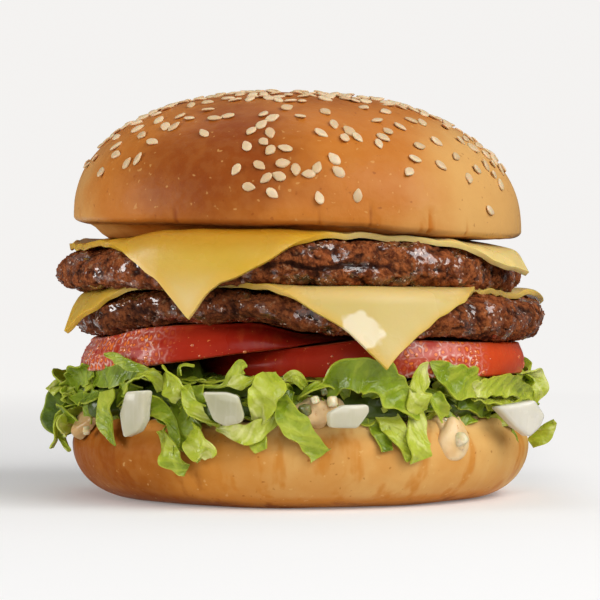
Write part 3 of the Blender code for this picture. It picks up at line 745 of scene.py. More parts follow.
# The strips at the front: tone, widths, then the places that each runs through, as seen from the
# front, with how far it stands off there.
FRONT_SHREDS = (
    # Dark tone: painted shade on a leaf that hangs in shadow at the far left.
    (0.12, (5, 8.5, 8.5, 4),
     ((-54.6, 25.5, 0), (-56.4, 21.5, 1), (-56.6, 17.5, 1), (-54.8, 13.6, 0)),
     dict(rolls=(75, 70), ruffle=0.5)),
    (0.85, (3, 4.6, 3), ((-54.5, 26.6, 1), (-57.0, 26.0, 2), (-59.0, 24.0, 2)), dict(rolls=(30, 60))),
    (0.4, (4, 6, 3.5),
     ((-49.5, 28.9, 1), (-52.5, 27.2, 2), (-54.8, 24.4, 2)), dict(rolls=(30, 40), curl=0.7)),
    (0.38, (3, 5.5, 4), ((-53, 26.6, 0), (-46, 27.6, 1), (-38.5, 28.6, 0)), {}),
    (0.52, (0.5, 2.7, 2.2, 1.0),
     ((-46.6, 32.8, 2), (-43, 31.6, 3), (-38.6, 29.6, 3), (-33, 28.0, 1.5)), {}),
    (0.72, (2, 3.4, 3.4, 3.4, 2),
     ((-41.6, 24, 1.5), (-39.6, 27, 3), (-36.4, 28.6, 3.5), (-34, 27.4, 3), (-32.7, 24, 1)),
     dict(rolls=(40, 60, 55, 40))),
    (0.35, (2.5, 4, 2), ((-55.2, 23.8, 1.5), (-50, 22.6, 2.5), (-46.8, 23.6, 1.5)), dict(rolls=(35, 35))),
    (0.58, (5.5, 7, 5.4, 0.3),
     ((-45.4, 24.4, 1.5), (-46, 20, 3), (-45.4, 16, 3.2), (-43.6, 11.2, 2)), dict(ruffle=0.1)),
    (0.66, (1.6, 2.6, 2.6, 2.2, 1),
     ((-52.4, 20.6, 1), (-55.0, 19.4, 3), (-57, 16.2, 3), (-56.2, 13.4, 2), (-54.4, 10.4, 0.5)),
     dict(rolls=(60, 70, 60))),
    (0.3, (4.4, 4, 3.8), ((-50, 22.2, 1.2), (-50.4, 19.5, 1.6), (-50, 16.4, 1.4)), {}),
    (0.58, (4.6, 5.4, 3.6, 3, 1.6),
     ((-37.6, 19.2, 3), (-34.8, 20.6, 4.2), (-31.4, 18.6, 4), (-29.8, 14.6, 3), (-29.2, 9.6, 2.4)),
     dict(rolls=(-10, 10, 35, 20), slant=0.1)),
    (0.7, (3, 5, 6, 3),
     ((-32.6, 15.2, 1.2), (-31.8, 11, 2.2), (-30, 7.4, 2.6), (-26.6, 5.4, 1.6)), dict(ruffle=0.7)),
    (0.78, (4.4, 6, 6, 5),
     ((-32.2, 28.8, 1), (-31.2, 26.2, 3), (-29.4, 24, 3.2), (-27.8, 22.6, 1.8)),
     dict(rolls=(-30, 10), curl=0.7)),
    (0.6, (1.6, 1, 0.6), ((-28.6, 27.6, 1), (-28.4, 30.2, 0.6), (-25, 30.4, 0)), dict(rolls=(40, 40))),
    (0.46, (6, 8, 7, 3), ((-29.8, 23, 0.5), (-27.6, 17.6, 1.2), (-26, 12.4, 1.4), (-23.4, 8.2, 1.4)), {}),
    (0.8, (2.4, 3.4, 3.2, 1.4),
     ((-26.8, 25.6, 2), (-25.8, 21.4, 3.4), (-23.2, 18.6, 3.6), (-18.8, 16, 2.4)),
     dict(rolls=(40, 55, 40))),
    (0.42, (5, 6, 3), ((-25, 25.4, 1), (-24.4, 20.6, 1.4), (-20, 17, 1)), {}),
    (0.88, (4, 7, 6, 2.4),
     ((-26, 15.2, 2), (-25, 12, 4), (-22.4, 9.8, 4.2), (-21.4, 8.2, 2)), dict(curl=0.9)),
    (0.62, (0.6, 1, 2.6, 3.4, 0.6),
     ((-23.6, 25.2, 0.5), (-18.6, 25.3, 1), (-16, 27.8, 1.4), (-14.2, 30, 1.4), (-12.4, 29.9, 1)), {}),
    (0.82, (2, 3.4, 2),
     ((-16.8, 25.8, 1), (-13.6, 26.2, 2), (-10.6, 27.6, 1.2)), dict(rolls=(25, 25), ruffle=0.9)),
    (0.84, (3, 9, 7.4, 3.6),
     ((-7.4, 28.8, 1.6), (-7.8, 25, 4), (-8.8, 21.4, 4.2), (-10, 16.8, 2.6)), dict(ruffle=0.9, curl=0.5)),
    (0.9, (0.8, 5, 5, 2),
     ((-19.6, 15.4, 2.4), (-14.6, 14, 4), (-9.6, 15.4, 4.2), (-5.2, 18.2, 2.4)), dict(ruffle=0.5)),
    (0.66, (4.8, 4.6, 3.2), ((-10.6, 15.4, 1.6), (-10.2, 12.6, 2.4), (-9.2, 10, 1.8)), {}),
    (0.42, (3, 4.6, 4.4), ((-2.8, 24.4, 0.6), (-4, 20.4, 1.8), (-3.6, 16.4, 2)), {}),
    (0.62, (4, 5.8, 5.8, 5.4),
     ((-4.6, 22.6, 2), (-2.4, 18, 4), (1.6, 13, 4), (5.2, 8.8, 2.6)), dict(ruffle=0.2, slant=-0.05)),
    (0.82, (1.6, 2.8, 2), ((-4, 27, 0.6), (-1.2, 27.6, 1.4), (1.2, 25, 0.6)), dict(rolls=(15, 15))),
    (0.6, (1.4, 2.4, 2.4, 1),
     ((-0.8, 22.4, 1), (2.4, 25, 2.4), (6, 25.8, 2), (8.6, 24.4, 0.6)), dict(rolls=(60, 60))),
    (0.46, (3, 6.6, 9, 9, 7, 5),
     ((5.8, 23.2, 1), (9.6, 27.2, 3), (15, 28.4, 5.2), (20.4, 25.8, 5.8), (24.4, 22.4, 5), (28.6, 19.4, 3)),
     dict(curl=0.55, ruffle=0.35, steps=36)),
    (0.76, (5.4, 6, 4, 2.8), ((19.6, 20.4, 1.6), (22, 16.4, 3.2), (24.6, 12, 3.2), (26.2, 7.8, 2)), {}),
    # A dark strip behind the pale one: painted shade where the front shows only shadow.
    (0.36, (5, 5.4, 3.4), ((18.6, 18.6, 1.0), (19.4, 14, 2.2), (20.6, 10, 2.2)), {}),
    (0.86, (4.6, 5.4, 6.6, 6),
     ((27.4, 20.4, 2), (28, 16.2, 3.6), (28.4, 11.6, 3.8), (28.8, 7.6, 2.6)), dict(slant=0.05)),
    (0.88, (5, 7, 6.6, 5),
     ((30.2, 28.4, 1.6), (28.2, 25.6, 4), (28.2, 22, 4.8), (29, 18.8, 3.2)), dict(rolls=(20, -10))),
    (0.6, (4, 4, 3.4), ((31.4, 23.4, 2.6), (33, 20.4, 3.6), (34.2, 17.6, 3)), dict(curl=1.2)),
    (0.56, (0.4, 6.6, 7.6, 5.4),
     ((30.4, 31, 1), (34.6, 28.2, 2.6), (39.6, 26.2, 3.2), (43.4, 25.4, 1.6)), {}),
    (0.22, (4.4, 4.6, 3), ((37.4, 22.4, 0.6), (41.6, 20.8, 1.2), (45, 19.2, 0.6)), {}),
    (0.8, (3, 5, 5, 3), ((39.4, 24.2, 2), (45, 25, 4), (51, 25, 4), (55.2, 22.6, 2)), dict(curl=0.6)),
    (0.9, (1.4, 2.6, 1.6), ((40.8, 22.4, 2), (47.6, 21.8, 3.6), (54, 22.4, 2)), dict(rolls=(60, 60))),
    (0.95, (2, 6, 5, 0.8),
     ((51.4, 27.6, 1.4), (54.8, 27.4, 2.6), (56.4, 24, 2.6), (54.4, 20.4, 1.4)), dict(rolls=(-50, -60))),
    (0.86, (2.6, 5.2, 4.4, 1.8),
     ((54.2, 11.8, 0.6), (56.2, 13.4, 2), (58.2, 15.0, 2.6), (60.2, 16.8, 2)),
     dict(rolls=(-60, -50), curl=0.9)),
    (0.5, (2.4, 2, 0.4), ((49.6, 16.4, 1), (50.6, 14, 1.4), (51.8, 11.4, 1)), {}),
)
front_bm = new_shreds()
for tone, widths, spots, bends in FRONT_SHREDS:
    shred(front_bm, [seen(*spot) for spot in spots], widths, tone, **bends)
finished_shreds("lettuce_front", front_bm)


def around(degrees, height, off):
    """A place on the burger's side by azimuth and height, so many millimetres off it."""
    return on_ring(math.radians(degrees), side_of_burger(height) + 0.001 * off, height, HEEL_AXIS_X)


# Round the sides and the back the strips follow one recipe: some hang, some lie along the bed,
# some stand up against the tomato. The longest hang where the bed has its lobes.
LOBES = (  # degrees, half their width in degrees, and how far they hang in millimetres
    (-173, 15, 6.5), (18, 10, 3.5), (42, 11, 7.0), (67, 9, 4.0), (88, 10, 7.8), (112, 9, 4.0),
    (135, 11, 7.0), (160, 9, 3.0),
)
BACK_STRIPS = 150
UNDER_STRIPS = 190
FLAT_STRIPS = 60
draw = random.Random(11)


def loose_shred(bm, degrees):
    hang = sum(size * bump(math.radians(degrees), at, spread) for at, spread, size in LOBES)
    kind = draw.random()
    tone = draw.choice((0.3, 0.42, 0.5, 0.6, 0.7, 0.82, 0.9))
    width = draw.uniform(3.4, 6.5)
    lean = draw.uniform(-8, 8)
    low_side = 0.0035 * min(max((degrees - 158) / 20, 0.0), 1.0)
    top = draw.uniform(0.0215, 0.0275) - low_side
    if kind < 0.5:
        foot = 0.0175 - 0.001 * hang * draw.uniform(0.5, 1.0)
        way = [
            around(degrees, top, draw.uniform(-1, 1)),
            around(degrees + 0.35 * lean, top - 0.3 * (top - foot), draw.uniform(1.5, 4.5)),
            around(degrees + 0.8 * lean, top - 0.7 * (top - foot), draw.uniform(2.5, 5)),
            around(degrees + 1.3 * lean, foot, draw.uniform(1, 4)),
        ]
        widths = (0.7 * width, width, width, 0.6 * width)
    elif kind < 0.85:
        span = draw.choice((-1, 1)) * draw.uniform(12, 24)
        way = [
            around(degrees, top, draw.uniform(0, 2)),
            around(degrees + 0.33 * span, top + draw.uniform(-0.003, 0.002), draw.uniform(2, 5)),
            around(degrees + 0.66 * span, top + draw.uniform(-0.005, 0.001), draw.uniform(2, 5)),
            around(degrees + span, top + draw.uniform(-0.006, 0.0), draw.uniform(0, 2)),
        ]
        widths = (0.5 * width, width, width, 0.4 * width)
    else:
        way = [
            around(degrees, 0.0225, draw.uniform(0, 2)),
            around(degrees + 0.4 * lean, 0.0270 - low_side, draw.uniform(2, 4)),
            around(degrees + lean, 0.0300 - 1.4 * low_side, draw.uniform(0, 1.5)),
        ]
        widths = (0.7 * width, width, 0.3 * width)
    rolls = (draw.uniform(-25, 25), draw.uniform(-40, 40))
    shred(
        bm, way, widths, tone, rolls, draw.uniform(0.1, 0.8), draw.uniform(0.1, 0.7),
        draw.uniform(-0.1, 0.1), 18,
    )


back_bm = new_shreds()
for number in range(BACK_STRIPS):
    loose_shred(back_bm, -14 + 208 * (number + draw.uniform(-0.5, 0.5)) / BACK_STRIPS)
finished_shreds("lettuce_back", back_bm)

under_bm = new_shreds()
for number in range(UNDER_STRIPS):
    degrees = 360 * (number + draw.uniform(-0.5, 0.5)) / UNDER_STRIPS
    level = draw.uniform(0.0192, 0.0268)
    span = draw.uniform(-12, 12)
    way = [
        around(degrees, level, draw.uniform(-2.5, -0.5)),
        around(degrees + 0.5 * span, level + draw.uniform(-0.002, 0.002), draw.uniform(-0.3, 1.2)),
        around(degrees + span, level + draw.uniform(-0.003, 0.002), draw.uniform(-2.5, -0.5)),
    ]
    tone = draw.uniform(0.24, 0.74)
    rolls = (draw.uniform(-40, 40), draw.uniform(-40, 40))
    shred(under_bm, way, (2, draw.uniform(3, 5.5), 2), tone, rolls, 0.4, 0.5, 0.0, 14)

# On top of the bed, between the tomato slices and the rim, strips lie flat.
for number in range(FLAT_STRIPS):
    degrees = draw.uniform(-152, -28) if number % 2 else draw.uniform(15, 165)
    span = draw.uniform(8, 22)
    inwards = draw.uniform(-10.5, -2.5)
    way = [
        around(degrees + share * span, 0.0285 + draw.uniform(-0.0006, 0.0004), inwards)
        for share in (-0.5, 0.0, 0.5)
    ]
    width = draw.uniform(4, 7)
    shred(under_bm, way, (3, width, 3), draw.uniform(0.3, 0.7), (90, 90), 0.1, 0.4, 0.0, 14)
finished_shreds("lettuce_under", under_bm)


# ---- Chopped onion ------------------------------------------------------------------------------
# White onion chopped coarsely: each bit is a piece of one or two petals, 3.4 mm thick, bent a
# little, milky and wet. The bits lie loose among the strips of lettuce at the edge.

ONION_THICKNESS = 0.0034
ONION_ROUNDING = 0.0007
ONION_SHAPES = (  # outline seen from outside and sideways shift in millimetres, lean and turn in degrees
    (((-1.6, 4.9), (3.4, 5.3), (3.2, -1.2), (1.6, -3.8), (-2.4, -5.3), (-3.5, 0)), -2.4, 0, 0),
    (((-4.6, 3.7), (0.6, 3.7), (3.3, 2.9), (4.6, -1.6), (3.9, -2.9), (0.4, -3.7), (-2.2, -2.4)), 0, 0, 16),
    (((-4.6, 0.8), (-1.5, 2.5), (4.3, 2.6), (4.6, 1.0), (1.6, -2.5), (-4.3, -2.3)), -0.9, 0, 6),
    (((-7.0, 2.8), (2.2, 4.2), (5.6, 0.6), (4.0, -2.0), (0.6, -4.1), (-2.9, -1.9)), -1.9, 0, -30),
    (((-4.4, 3.0), (3.4, 3.6), (4.4, -1.4), (0.8, -3.6), (-3.6, -2.6)), 0, 12, 10),
    (((-3.4, 4.4), (3.2, 4.8), (3.6, -2.2), (0.4, -4.8), (-3.4, -3.4)), 0, -8, 0),
    (((-4.8, 2.0), (0.4, 3.4), (4.8, 1.6), (3.4, -3.2), (-3.8, -2.8)), 0, 6, -8),
    (((-3.0, 3.8), (2.6, 4.0), (4.2, -1.0), (0.6, -4.0), (-3.8, -2.2)), 0, -12, 12),
)


def facing_up(tree):
    """1 where the surface faces straight up, and -1 where it faces down."""
    return part_of(tree, add_node(tree, "ShaderNodeNewGeometry").outputs["Normal"], "Z")


onion_look, tree, shader, place = new_look(
    "raw_onion", specular_ior_level=0.4, subsurface_weight=0.5, subsurface_scale=0.004,
    subsurface_radius=(1.0, 0.95, 0.7),
)
cloudy = patchy(tree, place, 110.0, 0.3, 0.7)
fibres = speckled(tree, stretched(tree, place, (1500.0, 1500.0, 130.0)), 1.0)
side = part_of(tree, place, "X")
colour = layered(
    tree, mixed(tree, cloudy, (0.52, 0.49, 0.36), (0.64, 0.59, 0.48)),
    # Darker towards the left and over a band left of the middle: painted shade.
    (ranged(tree, side, 0.020, -0.020, 0.0, 0.40), (0.38, 0.36, 0.23)),
    (times(tree, ranged(tree, side, -0.029, -0.022), ranged(tree, side, 0.006, -0.004, 0.0, 0.35)),
     (0.30, 0.30, 0.16)),
    # Paler at the right and where the bits face up: painted light.
    (ranged(tree, side, 0.030, 0.044, 0.0, 0.45), (0.84, 0.81, 0.74)),
    (ranged(tree, facing_up(tree), 0.25, 0.80, 0.0, 0.55), (0.80, 0.78, 0.66)),
    (ranged(tree, fibres, 0.5, 0.7, 0.0, 0.06), (0.74, 0.73, 0.63)),
)
fill(tree, shader, {
    "Base Color": colour, "Roughness": ranged(tree, cloudy, 0.0, 1.0, 0.16, 0.30),
    "Normal": bumped(tree, fibres, 0.00004),
})


def split_many_sided(bm):
    bmesh.ops.triangulate(bm, faces=[face for face in bm.faces if len(face.verts) > 4])


for number, (corners, sideways, lean, turn) in enumerate(ONION_SHAPES, 1):
    node = f"onion_{number}"
    bm = bmesh.new()
    face = bm.faces.new([bm.verts.new((0.5 * ONION_THICKNESS, 0.001 * x, 0.001 * z)) for x, z in corners])
    grown = bmesh.ops.extrude_face_region(bm, geom=[face])["geom"]
    back = [item for item in grown if isinstance(item, bmesh.types.BMVert)]
    bmesh.ops.translate(bm, verts=back, vec=(-ONION_THICKNESS, 0.0, 0.0))
    bmesh.ops.recalc_face_normals(bm, faces=bm.faces[:])
    bmesh.ops.bevel(
        bm, geom=bm.edges[:], offset=ONION_ROUNDING, affect="EDGES", segments=3, profile=0.5, material=-1,
        clamp_overlap=True,
    )
    split_many_sided(bm)
    long_edges = [edge for edge in bm.edges if edge.calc_length() > 0.0012]
    bmesh.ops.subdivide_edges(bm, edges=long_edges, cuts=3, use_grid_fill=True)
    split_many_sided(bm)
    for vert in bm.verts:
        vert.co.x -= 45 * vert.co.y**2 + 12 * vert.co.z**2
        vert.co.x += 0.0003 * noise.noise(vert.co * 300 + Vector((number, 0, 0)))
    low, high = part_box(node)
    azimuth = math.atan2(low.y + high.y, low.x + high.x)
    turned = Matrix.Rotation(azimuth + math.radians(turn), 4, "Z")
    turned = turned @ Matrix.Rotation(math.radians(lean), 4, "X")
    bmesh.ops.transform(bm, matrix=turned, verts=bm.verts[:])
    settled(bm, node, aside=0.001 * sideways)
    bit = made_piece(f"onion_bit_{number}", bm, onion_look)
    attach(bit, "root")
    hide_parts(node)


# ---- Tomato slices ------------------------------------------------------------------------------
# Two thick slices of a ripe red tomato, cut across and laid side by side, the left one lapping
# over the right. The skin is smooth, tight and wet; the cut faces are juicy flesh.

TOMATO_RADIUS = 0.0385
TOMATO_BULGE = 0.0007
TOMATO_THINNEST = 0.0010
TOMATO_ROUNDING = 0.0007
GAP = 0.0003


def eased(value, low, high):
    """0 below the low value and 1 above the high one, smoothly, or the other way round."""
    share = min(max((value - low) / (high - low), 0.0), 1.0)
    return share * share * (3 - 2 * share)


def burden(x, y):
    """Height of the face where the lower patty lies on the tomato. The left slice lifts it."""
    lifted = 0.0025 * eased(x, 0.002, -0.011) * eased(x, -0.052, -0.034) * eased(y, -0.018, -0.040)
    return 0.0389 - 0.050 * max(x, 0.0) + lifted - 0.040 * max(-x - 0.012, 0.0)


def lap(x):
    """Height of the sloping plane where the left slice lies on the right one."""
    return 0.0361 + 0.13 * x


def left_top(x, y):
    return burden(x, y) - GAP


def left_floor(x, y):
    return min(lap(x) - GAP, left_top(x, y) - TOMATO_THINNEST)


def right_top(x, y):
    under_left = eased(math.hypot(x + 0.0120, y + 0.0058), 0.0405, 0.0380)
    return min(lap(x) - 2 * GAP, burden(x, y) - GAP - under_left * (TOMATO_THINNEST + 2 * GAP))


def right_floor(x, y):
    return 0.0288


def slice_profile(slant):
    """From the middle of the upper face, over its edge, down the skin and back under. Heights
    are 1 on the upper face and 0 on the lower one."""
    inside = TOMATO_RADIUS - TOMATO_BULGE
    points = arc(10, lambda s: (s * (inside - slant - 0.0015), 1.0))
    points += arc(5, lambda s: (inside - slant - TOMATO_ROUNDING * (1 - rise(s)), 1 - 0.09 * (1 - fall(s))))
    points += arc(14, lambda s: (
        inside - slant * (1 - s) + TOMATO_BULGE * math.sin(math.pi * s), 0.91 - 0.83 * s,
    ))[1:]
    points += arc(5, lambda s: (inside - TOMATO_ROUNDING * (1 - fall(s)), 0.08 * (1 - rise(s))))[1:]
    return points + arc(8, lambda s: (0.93 * inside * (1 - s), 0.0))


def tomato_slice(centre, slant, outline, floor, ceiling):
    bm = spun(slice_profile(slant), 260)
    around_skin = bm.verts.layers.float.new("around")
    for vert in bm.verts:
        azimuth = math.atan2(vert.co.y, vert.co.x)
        vert[around_skin] = azimuth * TOMATO_RADIUS
        stretch = 1 + waves(azimuth, outline)
        x = centre[0] + vert.co.x * stretch
        y = centre[1] + vert.co.y * stretch
        low = floor(x, y)
        vert.co = (x, y, low + vert.co.z * (ceiling(x, y) - low))
    raised(bm, lambda at: 0.00022 * noise.noise(at * 90) + 0.00006 * noise.noise(at * 420))
    return bm


def far_from(tree, place, spot):
    return add_node(tree, "ShaderNodeVectorMath", {0: place, 1: spot}, operation="DISTANCE").outputs["Value"]


tomato_look, tree, shader, place = new_look(
    "tomato", specular_ior_level=0.14, subsurface_weight=0.10, subsurface_scale=0.002,
    subsurface_radius=(1.0, 0.25, 0.1), coat_roughness=0.06,
)
ripe = patchy(tree, place, 55.0, 0.3, 0.7)
streaks = speckled(tree, stretched(tree, place, (420.0, 420.0, 60.0)), 1.0)
upward = maths(tree, "ABSOLUTE", facing_up(tree))
side = part_of(tree, place, "X")

# Two wet places with a painted highlight: a pale net of glare between the drops, round orange dots.
wet = 0.0
for spot, reach in (((-0.042, -0.027, 0.0345), 0.021), ((0.032, -0.041, 0.0330), 0.014)):
    wet = summed(tree, ranged(tree, far_from(tree, place, spot), reach, 0.55 * reach), wet)
wet = times(tree, wet, patchy(tree, place, 230.0, 0.30, 0.46))
on_skin = {"X": stored(tree, "around"), "Y": part_of(tree, place, "Z")}
on_skin = add_node(tree, "ShaderNodeCombineXYZ", on_skin).outputs["Vector"]
wander = {"Vector": place, "Scale": 420.0, "Detail": 1.0}
wander = add_node(tree, "ShaderNodeTexNoise", wander).outputs["Color"]
wander = add_node(tree, "ShaderNodeVectorMath", {0: wander, "Scale": 0.0016}, operation="SCALE")
wander = wander.outputs["Vector"]
on_skin = add_node(tree, "ShaderNodeVectorMath", {0: on_skin, 1: wander}, operation="ADD").outputs["Vector"]
cells, between = (
    add_node(
        tree, "ShaderNodeTexVoronoi", {"Vector": on_skin, "Scale": 520.0, "Randomness": 0.7},
        voronoi_dimensions="2D", feature=feature,
    ).outputs["Distance"]
    for feature in ("F1", "DISTANCE_TO_EDGE")
)
net = times(tree, wet, ranged(tree, between, 0.17, 0.03, 0.0, 0.95))
net = times(tree, net, ranged(tree, patchy(tree, place, 150.0, 0.42, 0.56), 0.0, 1.0, 0.35, 1.0))
net = times(tree, net, ranged(tree, speckled(tree, place, 820.0), 0.40, 0.58, 0.12, 1.0))
colour = layered(
    tree, mixed(tree, ripe, (0.36, 0.016, 0.006), (0.46, 0.030, 0.010)),
    (ranged(tree, streaks, 0.5, 0.75, 0.0, 0.25), (0.62, 0.10, 0.025)),
    (patchy(tree, place, 1600.0, 0.68, 0.74), (0.70, 0.22, 0.06)),
    (ranged(tree, upward, 0.80, 0.95), mixed(tree, ripe, (0.55, 0.09, 0.035), (0.66, 0.17, 0.06))),
    # Brighter red at the right: painted light.
    (ranged(tree, side, 0.026, 0.044, 0.0, 0.75), (0.66, 0.075, 0.014)),
    # Painted glare over the wet places: its pinkish wash, pale net and the orange dots within it.
    (times(tree, wet, 0.5), (0.62, 0.15, 0.090)),
    (net, (0.84, 0.60, 0.52)),
    (times(tree, wet, ranged(tree, cells, 0.34, 0.27, 0.0, 0.75)), (0.36, 0.022, 0.006)),
    (times(tree, wet, ranged(tree, cells, 0.25, 0.16, 0.0, 0.95)), (0.84, 0.20, 0.03)),
)
fill(tree, shader, {
    "Base Color": colour, "Roughness": ranged(tree, ripe, 0.0, 1.0, 0.24, 0.36),
    "Coat Weight": times(tree, wet, 0.35), "Normal": grained(tree, place, 700.0, 0.00006),
})

left_bm = tomato_slice((-0.0132, -0.0056), 0.0028, ((2, 0.010, 0.5), (5, 0.006, 1.0)), left_floor, left_top)
settled(left_bm, "tomato_left", "xy", -0.0012)
left_surface = BVHTree.FromBMesh(left_bm)
left_slice = made_piece("tomato_slice_left", left_bm, tomato_look)
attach(left_slice, "root")
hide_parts("tomato_left")

right_bm = tomato_slice((0.0142, -0.0076), 0.0005, ((2, 0.012, 2.0), (5, 0.006, 0.2)), right_floor, right_top)
settled(right_bm, "tomato_right", "xy", -0.0019)
right_surface = BVHTree.FromBMesh(right_bm)
right_slice = made_piece("tomato_slice_right", right_bm, tomato_look)
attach(right_slice, "root")
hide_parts("tomato_right")


# ---- Water on the tomato ------------------------------------------------------------------------
# Fine drops of rinsing water that stay as beads on the waxy skin of the slices, thickest at the
# left and right. Each is a low dome under 1.6 mm across.

DROP_SIZES = (0.00026, 0.00034, 0.00042, 0.0005, 0.00058)
WET_STRETCHES = (  # surface, node, first and last degrees, number of drops
    (left_surface, "tomato_left", -168, -122, 40), (right_surface, "tomato_right", -66, -42, 20),
    (left_surface, "tomato_left", 90, 230, 40), (right_surface, "tomato_right", -20, 90, 34),
    (right_surface, "tomato_right", -115, -70, 8), (left_surface, "tomato_left", -112, -80, 6),
)
draw = random.Random(23)
one_drop = bmesh.new()
bmesh.ops.create_uvsphere(one_drop, u_segments=9, v_segments=6, radius=1.0)
drop_shape = bpy.data.meshes.new("one_drop")
one_drop.to_mesh(drop_shape)
one_drop.free()
drops_bm = bmesh.new()


def placed(bm, shape, matrix, tone=None):
    """Adds a copy of a small mesh to a bmesh."""
    copy = shape.copy()
    copy.transform(matrix)
    if tone is not None:
        copy.attributes["tone"].data.foreach_set("value", [tone] * len(copy.vertices))
    bm.from_mesh(copy)
    bpy.data.meshes.remove(copy)


def upright_on(point, normal):
    return Matrix.Translation(point) @ normal.to_track_quat("Z", "Y").to_matrix().to_4x4()


for surface, node, first, last, count in WET_STRETCHES:
    low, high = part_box(node)
    middle = 0.5 * (low + high)
    for number in range(count):
        azimuth = math.radians(draw.uniform(first, last))
        height = draw.uniform(low.z + 0.0006, high.z - 0.0012)
        away = Vector((math.cos(azimuth), math.sin(azimuth), 0.0))
        start = Vector((middle.x, middle.y, height)) + away * 0.08
        size = draw.choice(DROP_SIZES)
        squash = Matrix.Diagonal((size, size * draw.uniform(0.85, 1.1), 0.45 * size, 1.0))
        point, normal, _, _ = surface.ray_cast(start, -away)
        if point is not None and abs(normal.z) <= 0.7:
            placed(drops_bm, drop_shape, upright_on(point, normal) @ squash)

drops_look, tree, shader, place = new_look(
    "wet_beads", specular_ior_level=0.8, coat_weight=1.0, coat_roughness=0.03,
)
tint = patchy(tree, place, 900.0)
fill(tree, shader, {
    "Base Color": mixed(tree, tint, (0.66, 0.10, 0.02), (0.80, 0.22, 0.06)),
    "Roughness": ranged(tree, tint, 0.0, 1.0, 0.08, 0.16),
})
drops = made_piece("tomato_drops", drops_bm, drops_look)
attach(drops, "root")


# ---- Lower patty --------------------------------------------------------------------------------
# Coarsely minced beef, pressed to a disc and seared on a griddle. Its edge is craggy, dark brown
# and glossy with fat, with crevices between the strands of mince. The left side is thinner.

PATTY_RADIUS = 0.0540
PATTY_EDGE_WIDTH = 0.0072
PATTY_EDGE_POWER = 2.5
PATTY_RIM = 0.42
FLAT_SHARE = 0.42
MINCE_DEPTH = 0.00060


def round_rim(table, azimuth, column):
    """A value from rows of (degrees, values...) round a rim, eased from each row to the next."""
    degrees = math.degrees(azimuth) % 360
    for first, second in zip(table, table[1:] + table[:1]):
        span = (second[0] - first[0]) % 360
        into = (degrees - first[0]) % 360
        if into <= span:
            return first[column] + (second[column] - first[column]) * eased(into, 0.0, span)
    return table[0][column]


class Patty:
    """One patty's outline and surfaces, which its cheese slice also follows."""

    def __init__(self, centre_x, floor, ceiling, outline, rim, floor_at=None):
        self.centre = (centre_x, 0.0)
        self.floor = floor  # heights of its two faces in the middle
        self.ceiling = ceiling
        self.outline = outline
        self.rim = rim  # degrees, and the heights of the lower and the upper edge there
        self.floor_at = floor_at

    def edge(self, azimuth):
        """Its radius, and the heights of the lower and the upper edge, at an azimuth."""
        radius = PATTY_RADIUS + waves(azimuth, self.outline)
        return radius, round_rim(self.rim, azimuth, 1), round_rim(self.rim, azimuth, 2)

    def toward_rim(self, radius, edge):
        return max(radius / edge[0] - FLAT_SHARE, 0.0) / (1 - FLAT_SHARE)

    def lower_face(self, radius, azimuth, edge):
        if self.floor_at:
            return self.floor_at(self.centre[0] + radius * math.cos(azimuth), radius * math.sin(azimuth))
        return self.floor + (edge[1] - self.floor) * self.toward_rim(radius, edge)**2

    def upper_face(self, radius, edge):
        """The face between the middle and the rim, then rounded off down to the widest line."""
        face = self.ceiling + (edge[2] - self.ceiling) * self.toward_rim(radius, edge)**2
        across = min(max((radius - edge[0]) / PATTY_EDGE_WIDTH + 1, 0.0), 1.0)
        rounding = 1 - (1 - across**PATTY_EDGE_POWER) ** (1 / PATTY_EDGE_POWER)
        return face - (1 - PATTY_RIM) * (edge[2] - edge[1]) * rounding


def patty_profile():
    """(share of the radius, side): 1 for the upper face, and -1 for the lower face's plane."""
    width = PATTY_EDGE_WIDTH / PATTY_RADIUS
    points = arc(16, lambda s: (s * (1 - width), 1.0))
    points += arc(20, lambda s: (1 - width + width * rise(s) ** 0.8, 1.0))[1:]
    points += arc(14, lambda s: (1 - 0.6 * width * (1 - fall(s)), -rise(s)))[1:]
    return points + arc(12, lambda s: ((1 - 0.6 * width) * (1 - s), -1.0))[1:]


noise.seed_set(184)  # fixes noise_vector, so that every run gives the same mince


def minced(place, seed):
    """Height of the surface, from -1 in a crevice to 1 on a lump: smeared strands and crumbs."""
    flat = Vector((place.x, place.y, 1.5 * place.z)) + seed
    drift = noise.noise_vector(flat * 120) * 0.002
    lump = noise.fractal((flat + drift) * 240, 0.9, 2.1, 4)
    crack = 1 - min(abs(noise.noise((flat - drift) * 200)) / 0.11, 1.0)
    crumbs, _ = noise.voronoi((flat + 0.3 * drift) * 760)
    crumb = min(1.0, 1.6 * (crumbs[1] - crumbs[0]))
    return 1.0 * lump - 0.8 * crack**2 + 0.8 * crumb - 0.45


def ragged(place, seed):
    """Slow swells of the patty's outline and edges, in all directions."""
    return noise.noise_vector(place * 110 + seed) * 0.0015 + noise.noise_vector(place * 48 - seed) * 0.0012


